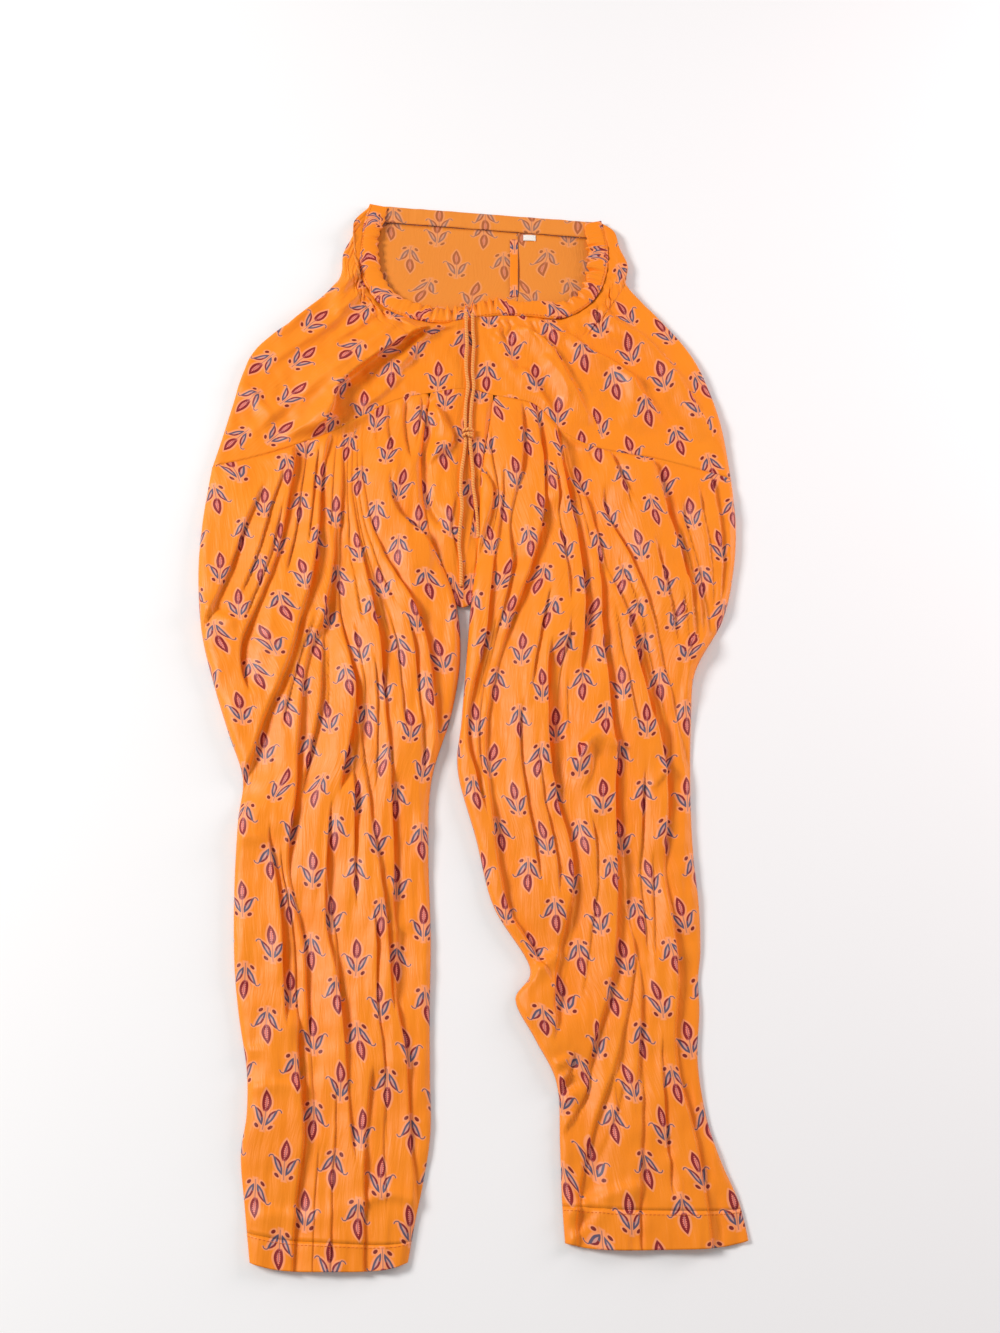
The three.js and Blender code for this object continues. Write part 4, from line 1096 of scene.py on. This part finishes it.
# %% Make the gussets
GUSSET_FOLDS = [
    (7, 8, 3, [(-37, 271), (-27, 250), (-17, 230), (-29, 217), (-45, 203)]),
    (-5, 4, 6, [(-42, 272), (-36, 246), (-40, 220), (-44, 199), (-38, 170), (-26, 148), (-13, 133),
     (-6, 108)], {"lean": 0}),
    (6, 6, 2.5, [(-12, 176), (-19, 150), (-15, 126), (-8, 102)]),
    (5, 5, 2.5, [(-1, 172), (3, 153), (-2, 129), (-6, 106)]),
    (4, 6, 3, [(-6, 200), (-10, 184), (-13, 170)]),
    (3, 5, 3, [(14, 262), (11, 220), (5, 180)]),
]
GUSSET_ROWS = 70
GUSSET_COLUMNS = {"left": 60, "right": 36}
# How far the panel reaches under the folded edge of the leg
UNDER_LEG_MM = {"left": 4.0, "right": -4.0}
GUSSET_HEAP = (6.0, 5.5, 4.5, 2.5)
GUSSET_RIPPLES = ((31, 0.5, 20, 1.6, 14), (32, 0.25, 9, 1.6, 20))


def gusset_grid(side):
    stations = np.linspace(0, CROTCH, GUSSET_ROWS)
    across = np.linspace(0, 1, GUSSET_COLUMNS[side])
    rows, share = np.meshgrid(stations, across, indexing="ij")
    leg = leg_plan(side, rows, np.ones_like(rows))
    leg[..., 0] -= UNDER_LEG_MM[side] * ease(rows, 0, 0.4)
    rise = curve(RISE_SEAM, rows)
    plan = leg + (rise - leg) * share[..., None]
    start = SEAM_AT[side + "_gusset"]
    top = curve(YOKE_SEAM, start + (SEAM_AT["centre"] - start) * share)
    plan[..., 1] += (top[..., 1] - plan[0, :, 1]) * (1 - ease(rows, 0, 0.8))
    plan[..., 1] -= 7 * ease(share, -0.3, 1) * ease(rows, 3.2, 4)
    x, y = plan[..., 0], plan[..., 1]
    folds, shift_x, shift_y = fold_field(x, y, GUSSET_FOLDS)
    hold = ease(share, 0, 0.25) * ease(rows, 0, 0.3)
    heap = np.interp(rows, (0, 1, 3, CROTCH), GUSSET_HEAP)
    uneven = unevenness(x, y, GUSSET_RIPPLES)
    body = BACK_MM + heap * ease(share, -0.15, 0.4) + (folds + uneven) * hold
    body = np.maximum(lay_under(x, y, body, (left_line, right_line)), BACK_MM)
    body = SEAM_MM + (body - SEAM_MM) * ease(rows, 0, 0.25)
    plan[..., 0] += shift_x * hold
    plan[..., 1] += shift_y * hold
    return raised(plan, body)


for side in SIDES:
    grid = gusset_grid(side)
    if side == "right":
        grid = grid[:, ::-1]
    piece = cloth_piece(f"gusset_cloth_{side}", grid, [cotton, wrong_side])
    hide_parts(f"gusset_{side}")
    sheets[f"gusset_{side}"] = piece, grid

# %% [markdown]
# ## The belt
#
# The belt is the deep plain part between the waist and the legs. The drawstring gathers its top
# edge, and from there large soft folds fan out to the hips. Each fold is given as a line with a
# height, a gentle side and a steep side. The back of the belt lies flat.

# %% Make the front of the belt
BELT_FOLDS = [
    (14, 15, 4.5, [(-26, 362), (-52, 350), (-82, 330), (-110, 308), (-130, 285), (-138, 254),
     (-146, 222)], {"lean": 0.8, "grows": 0.1, "fades": 0.85}),
    (4, 9, 6, [(-70, 361), (-81, 343), (-101, 328), (-122, 313), (-141, 300), (-152, 283),
     (-160, 260), (-163, 232)]),
    (6, 8, 4, [(-9, 362), (-20, 352), (-38, 345), (-61, 314), (-86, 278)]),
    (3.5, 6, 3, [(-60, 368), (-84, 344), (-112, 322)]),
    (3, 5, 3, [(-98, 398), (-112, 378), (-130, 362)]),
    (3, 5, 3, [(-104, 410), (-120, 396), (-132, 380)]),
    (3, 6, 3, [(-84, 372), (-104, 352), (-128, 336)]),
    (3, 7, 4, [(-216, 292), (-196, 270), (-182, 250)]),
    (3, 6, 3, [(-60, 300), (-84, 276), (-100, 262)]),
    (3.5, 6, 3, [(56, 362), (72, 350), (92, 330)]),
    (3, 6, 4, [(10, 356), (12, 330), (22, 306)]),
    (3, 6, 3, [(104, 372), (124, 344), (146, 326)]),
    (3, 5, 3, [(108, 396), (128, 380), (150, 362)]),
    (3, 5, 3, [(112, 418), (130, 408), (148, 398)]),
    (2.5, 7, 4, [(150, 300), (150, 270), (146, 240)]),
    (3, 6, 3, [(66, 318), (84, 290), (92, 262)]),
    (5, 11, 6, [(-109, 382), (-132, 353), (-169, 326), (-196, 303)]),
    (4, 9, 5, [(-106, 424), (-119, 392), (-132, 362)]),
    (5, 11, 6, [(-111, 324), (-141, 294), (-175, 262), (-206, 231)]),
    (4, 8, 5, [(-125, 275), (-156, 242), (-170, 226)]),
    (4, 10, 7, [(-128, 405), (-160, 364), (-192, 332)]),
    (7.5, 11, 5, [(39, 349), (57, 338), (74, 322), (94, 281), (112, 245)]),
    (7, 11, 5, [(83, 352), (106, 322), (129, 308), (144, 295), (164, 265), (177, 243)]),
    (6, 11, 6, [(128, 362), (166, 328), (188, 298), (206, 262), (220, 229)]),
    (5, 9, 5, [(46, 306), (62, 280), (76, 250)]),
    (4.5, 8, 5, [(118, 376), (134, 352), (150, 330)]),
    (4, 8, 5, [(22, 352), (30, 325), (44, 290)]),
]


def fall(line, start, share):
    """Points of a falling line at shares of its fall, from a starting position."""
    dense_at = np.linspace(start, len(line) - 1, 400)
    dense = curve(line, dense_at)
    y = dense[0, 1] + (dense[-1, 1] - dense[0, 1]) * share
    at = np.interp(-y, -dense[:, 1], dense_at)
    return curve(line, at)


def beside(line, at, distance):
    """Points beside a line, on its left where the distance is positive."""
    step = 0.05
    ahead = curve(line, np.minimum(at + step, len(line) - 1))
    behind = curve(line, np.maximum(at - step, 0))
    along = ahead - behind
    along /= np.linalg.norm(along, axis=-1, keepdims=True)
    left = np.stack([-along[..., 1], along[..., 0]], axis=-1)
    return curve(line, at) + left * np.asarray(distance)[..., None]


def patch(top, bottom, left, right, share, fall_share):
    """A grid between four edges, given as arrays of points."""
    s = share[None, :, None]
    t = fall_share[:, None, None]
    grid = top[None] * (1 - t) + bottom[None] * t
    left_bend = left - (left[0] + (left[-1] - left[0]) * fall_share[:, None])
    right_bend = right - (right[0] + (right[-1] - right[0]) * fall_share[:, None])
    return grid + left_bend[:, None] * (1 - s) + right_bend[:, None] * s


# The large folds hide wedges of cloth, so the print lies turned between them. A row for each
# border between two turns, from the waist to the seam, and the turns in degrees clockwise
PRINT_BORDERS = [
    [(-12, 374), (-18, 353), (-46, 334), (-79, 309), (-100, 291), (-112, 277), (-115, 258),
     (-121, 232), (-132, 203)],
    [(34, 372), (44, 351), (63, 340), (80, 324), (99, 284), (118, 246), (122, 215)],
    [(120, 386), (134, 365), (171, 331), (193, 300), (211, 264), (226, 228), (236, 190)],
]
PRINT_TURNS = (47, 2, -12, -30)
PRINT_SHIFT = 17.0
BELT_ROWS = 92
BELT_COLUMNS = 250
# The small gathers under the casing: how many, how unevenly spaced, and how strong each is
BELT_GATHERS = ((30, 2.2, 23, 1.0), (47, 1.7, 31, 0.7))
GATHER_MM = 1.7
BELT_RIPPLES = ((12, 0.8, 42, 1.2, 14), (13, 0.35, 13, 1.4, 24))
# How far the row sewn to the casing lies below the seam with the legs
CASING_DROP = 1.2


def left_of(x, y, line):
    """Which points lie on the left of a line's travel."""
    dense = curve(line, np.linspace(0, len(line) - 1, 80))
    apart = (x[..., None] - dense[:, 0]) ** 2 + (y[..., None] - dense[:, 1]) ** 2
    nearest = np.argmin(apart, axis=-1)
    along = np.gradient(dense, axis=0)[nearest]
    away = np.stack([x, y], axis=-1) - dense[nearest]
    return along[..., 0] * away[..., 1] - along[..., 1] * away[..., 0] > 0


def belt_print(plan):
    """Places of the print at the corners of each face of the belt's front."""
    corners = quad_corners(plan)
    middle = corners.mean(axis=2)
    places = middle[..., 0], middle[..., 1]
    part = sum(left_of(*places, line).astype(int) for line in PRINT_BORDERS)
    turn = np.radians(np.array(PRINT_TURNS, float))[part][..., None]
    x, y = corners[..., 0], corners[..., 1]
    shift = PRINT_SHIFT * part[..., None]
    u = x * np.cos(turn) - y * np.sin(turn) + shift
    v = x * np.sin(turn) + y * np.cos(turn) + 0.6 * shift
    return np.stack([u, v], axis=-1)


def belt_grid():
    share = np.linspace(0, 1, BELT_COLUMNS)
    down = np.linspace(0, 1, BELT_ROWS)
    top = beside(MOUTH, share * (len(MOUTH) - 1), -(CASING_WIDTH - 1))
    bottom = curve(YOKE_SEAM, share * SEAM_AT["right_hip"])
    left = fall(LEFT_HIP, 0, down)
    right = fall(RIGHT_HIP, 0, down)
    plan = patch(top, bottom, left, right, share, down)
    t = np.broadcast_to(down[:, None], plan.shape[:2])
    s = np.broadcast_to(share[None, :], plan.shape[:2])
    x, y = plan[..., 0], plan[..., 1]
    folds, shift_x, shift_y = fold_field(x, y, BELT_FOLDS)
    width = np.linalg.norm(plan[:, -1] - plan[:, 0], axis=1)[:, None]
    edge = np.minimum(s, 1 - s) * width
    gather = sum(
        strength * np.sin(s * 2 * math.pi * number + uneven * np.sin(s * spacing))
        for number, uneven, spacing, strength in BELT_GATHERS
    )
    gather = GATHER_MM * gather * (1 - ease(t, 0.05, 0.45)) * (0.5 + 0.5 * ripples(x, y, 15, 60))
    uneven = unevenness(x, y, BELT_RIPPLES)
    # The row sewn to the casing lies flat against it
    body = SEAM_MM - SEAM_EDGE_MM + (gather + folds) * ease(t, 0, 0.1) + uneven
    body = lay_under(x, y, SEAM_EDGE_MM + body, (left_line, right_line)) - SEAM_EDGE_MM
    body = body - CASING_DROP * (1 - ease(t, 0, 0.06))
    body = body + (SEAM_MM - SEAM_EDGE_MM - body) * ease(t, 0.93, 1)
    height = SEAM_EDGE_MM + rounded(edge) * body
    corners = belt_print(plan)
    hold = ease(edge, 0, 16) * ease(t, 0, 0.1) * (1 - ease(t, 0.92, 1))
    plan = plan + np.stack([shift_x, shift_y], axis=-1) * hold[..., None]
    return raised(plan, height), corners


grid, corners = belt_grid()
piece = cloth_piece("belt_front", grid, [cotton, wrong_side], corners=corners)
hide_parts("yoke_front")
sheets["yoke_front"] = piece, grid

# %% [markdown]
# ## The back of the belt
#
# The back is two plain halves that meet at the centre seam. They lie flat, and their wrong side
# shows through the open waist, so the grids face down and the wrong side lies on top.

# %% Make the back of the belt
BACK_WAIST = {"left": -80, "right": 108, "middle": 480, "slope": -0.09}


def back_waist_y(x):
    return BACK_WAIST["middle"] + BACK_WAIST["slope"] * x


def belt_back_grid(side):
    share = np.linspace(0, 1, 70)
    down = np.linspace(0, 1, 60)
    inwards = 1 if side == "left" else -1
    hip = fall(LEFT_HIP, 1, down) if side == "left" else fall(RIGHT_HIP, 1.5, down)
    hip = hip + np.array([1.5 * inwards, 0])
    middle = fall(CENTRE_BACK_SEAM, 0, down) - np.array([0.2 * inwards, 0])
    x = hip[0, 0] + (middle[0, 0] - hip[0, 0]) * share
    top = np.stack([x, back_waist_y(x) - CASING_WIDTH], axis=1)
    start = SEAM_AT[side + "_hip"]
    bottom = curve(YOKE_SEAM, start + (SEAM_AT["centre"] - start) * share)
    bottom[:, 0] += inwards * (1.5 - 1.7 * share)
    plan = patch(top, bottom, hip, middle, share, down)
    soft = 0.5 + 0.35 * ripples(plan[..., 0], plan[..., 1], 71, 50, 1.5)
    height = 0.7 + np.clip(soft, 0, 1.2) * ease(share[None, :], 0, 0.1)
    return raised(plan, height)


for side in SIDES:
    grid = belt_back_grid(side)
    if side == "right":
        grid = grid[:, ::-1]
    piece = cloth_piece(f"belt_back_{side}", grid, [wrong_side, cotton])
    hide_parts(f"yoke_back_{side}")
    sheets[f"yoke_back_{side}"] = piece, grid

# %% [markdown]
# ## The casing
#
# The casing is a folded strip along the waist, and the drawstring runs inside it. At the back
# it lies flat. Round the sides and the front the drawn cord gathers it into a narrow ruffle.

# %% Make the casing
CASING_STEPS = 9
CASING_COLUMNS = 520
# The rim turns over with this radius, and the inner layer ends short of the outer one
RIM_MM = 1.2
INNER_SHARE = 0.86
RUFFLE_PITCH_MM = 8.9


def casing_section(depth):
    """The folded strip in section, from its outer seam over the rim to its inner seam: how far
    each point is from the rim, how far up between the layers, and how much it puffs out."""
    outer = np.linspace(depth, RIM_MM, CASING_STEPS)
    turn = np.linspace(-math.pi / 2, math.pi / 2, 5)[1:-1]
    inner = np.linspace(RIM_MM, depth * INNER_SHARE, CASING_STEPS)
    away = np.concatenate([outer, RIM_MM - RIM_MM * np.cos(turn), inner])
    one = np.ones(CASING_STEPS)
    share = np.concatenate([one, 0.5 - 0.5 * np.sin(turn), 0 * one])
    puff = np.sin(math.pi * np.clip(away / depth, 0, 1)) ** 0.7
    return away, share, puff


def casing_front_grid():
    last = len(MOUTH) - 1
    at = np.linspace(0, last, CASING_COLUMNS)
    away, share, puff = casing_section(CASING_WIDTH)
    shape = len(away), CASING_COLUMNS
    s = np.broadcast_to(at[None, :], shape)
    run = np.broadcast_to(run_along(curve(MOUTH, at))[None, :], shape)
    ruffles = run * 2 * math.pi / RUFFLE_PITCH_MM + 2.6 * np.sin(run / 31.0)
    wave = np.sin(ruffles)
    wave = wave + 0.8 * np.sin(run * 2 * math.pi / 5.3 + 2.3 * np.sin(run / 19.0) + 1.0)
    wave = wave * (0.55 + 0.45 * np.sin(run / 23.0 + 0.4)) * (0.35 + 0.65 * ease(s, 3.2, 4.4))
    near_end = ease(np.minimum(s, last - s), 0, 1.2)
    rim = 1 - away[:, None] / CASING_WIDTH
    scallop = 1.3 * wave + 1.6 * np.sin(run / 13.0 + 2.0 * np.sin(run / 37.0))
    offset = away[:, None] - (scallop * rim) * near_end
    plan = beside(MOUTH, s, -offset)
    plan[..., 0] += 0.7 * np.cos(ruffles) * near_end * rim
    lift = (1.4 + 2.0 * near_end) + 1.8 * puff[:, None] * near_end
    uneven = 0.6 + 0.5 * ripples(plan[..., 0], plan[..., 1], 91, 26)
    ruffle = 1.6 * wave * uneven * (0.3 + 0.7 * rim) * near_end
    outer = 3.4 + lift + ruffle
    inner = 3.0 + 0.5 * lift + 0.6 * ruffle
    return raised(plan, inner + (outer - inner) * share[:, None])


grid = casing_front_grid()[::-1]
piece = cloth_piece("casing_gathered", grid, [cotton, wrong_side])
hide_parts("casing_left", "casing_front", "casing_right")
sheets["casing"] = piece, grid

x = np.linspace(BACK_WAIST["left"] - 14, BACK_WAIST["right"] + 13, 150)
away, share, puff = casing_section(CASING_WIDTH)
y = back_waist_y(x)[None, :] - away[:, None]
waves = 0.25 * ripples(x[None, :], y, 81, 18, 1.0)
z = 1.3 + (1.1 + 0.5 * puff[:, None] + waves) * share[:, None]
grid = np.stack([np.broadcast_to(x[None, :], y.shape), y, z], axis=-1)
piece = cloth_piece("casing_flat", grid, [cotton, wrong_side])
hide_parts("casing_back")
sheets["casing_back"] = piece, grid

# %% [markdown]
# ## The pressed seam and the label
#
# The allowance of the back seam is pressed to one side and shows through the open waist. A small
# bare tape label is sewn in under the casing.

# %% Make the allowance and the label
ALLOWANCE = {"top": 450, "length": 64, "width": 7.6}
seam_top, seam_bottom = CENTRE_BACK_SEAM[0][1], CENTRE_BACK_SEAM[-1][1]
share = np.linspace(0, 1, 40)
y = ALLOWANCE["top"] - ALLOWANCE["length"] * share
seam = fall(CENTRE_BACK_SEAM, 0, (seam_top - y) / (seam_top - seam_bottom))
across = np.linspace(0, 1, 8)
x = seam[:, 0][:, None] - 0.4 - ALLOWANCE["width"] * across[None, :]
y = np.broadcast_to(seam[:, 1][:, None], x.shape)
z = 2.2 - 0.3 * across[None, :] + 0.15 * np.sin(y / 9.0)
grid = np.stack([x, y, z], axis=-1)[:, ::-1]
piece = cloth_piece("seam_allowance", grid, [cotton, wrong_side])
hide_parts("back_seam_allowance")
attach(piece, "root")

LABEL = {"x": 57, "y": 451.6, "width": 12, "height": 6.4, "rise": -0.05}
across = np.linspace(-0.5, 0.5, 13)
down = np.linspace(0.5, -0.5, 9)
x, y = np.meshgrid(LABEL["x"] + LABEL["width"] * across, LABEL["y"] + LABEL["height"] * down)
y = y + LABEL["rise"] * (x - LABEL["x"])
z = 2.5 + 0.25 * np.cos((x - LABEL["x"]) / 3.5)
grid = np.stack([x, y, z], axis=-1)
label = cloth_piece("label_tape", grid, [tape], thickness=0.4)
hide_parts("label")
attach(label, "root")

# %% [markdown]
# ## Stitches
#
# Rows of machine stitches hold the hems and the casing. Each stitch is a short thick piece of
# thread that dips into the cloth at both ends. A row takes its places and its direction from the
# grid of the cloth under it, so the stitches follow every fold.

# %% Sew the rows of stitches
STITCH = {"pitch": 3.3, "length": 2.5, "thread": 0.55, "sides": 6, "rise": 0.32, "sunk": 0.1}


def grid_row(grid, row):
    """Points of one row of a cloth's grid, and the directions that face out of the cloth."""
    down = np.gradient(grid, axis=0)[row]
    out = np.cross(down, np.gradient(grid[row], axis=0))
    return grid[row], out / np.linalg.norm(out, axis=1, keepdims=True)


def stitch_row(name, rows):
    """One mesh of stitches along rows of points with their outward directions."""
    share = np.linspace(-0.5, 0.5, 5)
    radius = STITCH["thread"] / 2 * np.array([0.45, 0.9, 1.0, 0.9, 0.45])
    turn = np.linspace(0, 2 * math.pi, STITCH["sides"], endpoint=False)
    rings = []
    for line, out in rows:
        run = run_along(line)
        at = np.arange(STITCH["pitch"], run[-1] - STITCH["pitch"], STITCH["pitch"])[:, None]
        at = at + share * STITCH["length"]
        middle = np.stack([np.interp(at, run, line[:, k]) for k in range(3)], axis=-1)
        up = np.stack([np.interp(at, run, out[:, k]) for k in range(3)], axis=-1)
        up /= np.linalg.norm(up, axis=-1, keepdims=True)
        along = np.gradient(middle, axis=1)
        along /= np.linalg.norm(along, axis=-1, keepdims=True)
        side = np.cross(along, up)[..., None, :]
        middle += up * (STITCH["rise"] * (1 - (2 * share) ** 2) - STITCH["sunk"])[None, :, None]
        ring = side * np.cos(turn)[:, None] + up[..., None, :] * np.sin(turn)[:, None]
        rings.append(middle[..., None, :] + ring * radius[None, :, None, None])
    points = np.concatenate(rings)
    index = np.arange(points[..., 0].size).reshape(points.shape[:3])
    closed = np.concatenate([index, index[..., :1]], axis=2)
    quads = np.stack(
        [closed[:, :-1, :-1], closed[:, 1:, :-1], closed[:, 1:, 1:], closed[:, :-1, 1:]], axis=-1
    )
    faces = quads.reshape(-1, 4).tolist() + index[:, 0].tolist() + index[:, -1, ::-1].tolist()
    piece = mesh_piece(name, points, faces, [thread])
    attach(piece, "root")
    print(f"{name}: {len(points)} stitches")


for side in SIDES:
    stitch_row(f"stitches_hem_{side}", [grid_row(sheets[f"hem_{side}"][1], 1)])
CASING_STITCH_ROW = 1
stitch_row("stitches_casing", [
    grid_row(sheets["casing_back"][1], CASING_STITCH_ROW),
    grid_row(sheets["casing"][1], -1 - CASING_STITCH_ROW),
])

# %% [markdown]
# ## The sizes of the sheets
#
# The size of each sheet's flat cut is worked out from the cloth that it has to give, because
# folding must not stretch it, and printed with the sheet's area.

# %% Work out the size of every sheet
INSIDE_OUT = ("yoke_back_left", "yoke_back_right", "casing_back")
# The flat cut is a rectangle, a little wider and longer than the cloth that it has to give
FULL_WIDTH = 0.98
FULL_AREA = 0.99
ROUNDING = 0.0005


def cloth_area(grid):
    """Area of a grid of points in mm, in square metres."""
    a = grid[1:, 1:] - grid[:-1, :-1]
    b = grid[1:, :-1] - grid[:-1, 1:]
    return float(np.linalg.norm(np.cross(a, b), axis=2).sum()) * 0.5 * MM * MM


def row_lengths(grid):
    return np.linalg.norm(np.diff(grid, axis=1), axis=2).sum(axis=1) * MM


for name, (piece, grid) in sheets.items():
    widths = row_lengths(grid)
    area = round(cloth_area(grid), 5)
    width = round(float(widths.max()), 3)
    length = max(area / (FULL_WIDTH * widths.mean()), area / (FULL_AREA * width))
    length = round(length + ROUNDING, 3)
    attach(piece, "root")
    "wrong_side" if name in INSIDE_OUT else "printed_cotton"
    print(f"{name}: {width:.3f} x {length:.3f} m, {area:.3f} square metres")

# %% [markdown]
# ## Light and floor
#
# A pale floor and one soft light from the left show the folds, because every valley lies in the
# shadow of the crest on its left. A weak window on the right gives the right hip its pale edge.

# %% Floor and lights
LIGHTS = {
    "key": {"at": (-2.1, 0.5, 1.65), "watts": 61, "tint": (1.0, 0.98, 0.97)},
    "window": {"at": (1.5, 0.5, 0.6), "watts": 15, "tint": (1.0, 0.88, 0.9)},
}
LIGHT_SIZE = 0.8
SKY_STRENGTH = 0.4

floor_shader = Shader("pale_floor")
floor_shader.set(Base_Color=(0.9, 0.9, 0.9, 1.0), Roughness=0.9)
deselect()
bpy.ops.mesh.primitive_plane_add(size=8, location=(0, 0, -0.0005))
floor = bpy.context.object
floor.name = "floor"
floor.data.materials.append(floor_shader.material)


def area_light(name, at, watts, tint):
    """A square light that shines at the middle of the floor."""
    deselect()
    bpy.ops.object.light_add(type="AREA", location=at)
    light = bpy.context.object
    light.name = name
    light.data.size = LIGHT_SIZE
    light.data.energy = watts
    light.data.color = tint
    turn = math.atan2(at[1], at[0])
    tilt = math.atan2(math.hypot(at[0], at[1]), at[2])
    light.rotation_euler = (0, tilt, turn)


for name, light in LIGHTS.items():
    area_light(name, **light)
world = bpy.data.worlds.new("pale_sky")
world.use_nodes = True
sky = world.node_tree.nodes["Background"].inputs
sky["Color"].default_value = (1, 1, 1, 1)
sky["Strength"].default_value = SKY_STRENGTH
bpy.context.scene.world = world
print("lights:", ", ".join(LIGHTS))
# Plain colours, because the photographic transform would turn the strong orange pale
bpy.context.scene.view_settings.view_transform = "Standard"
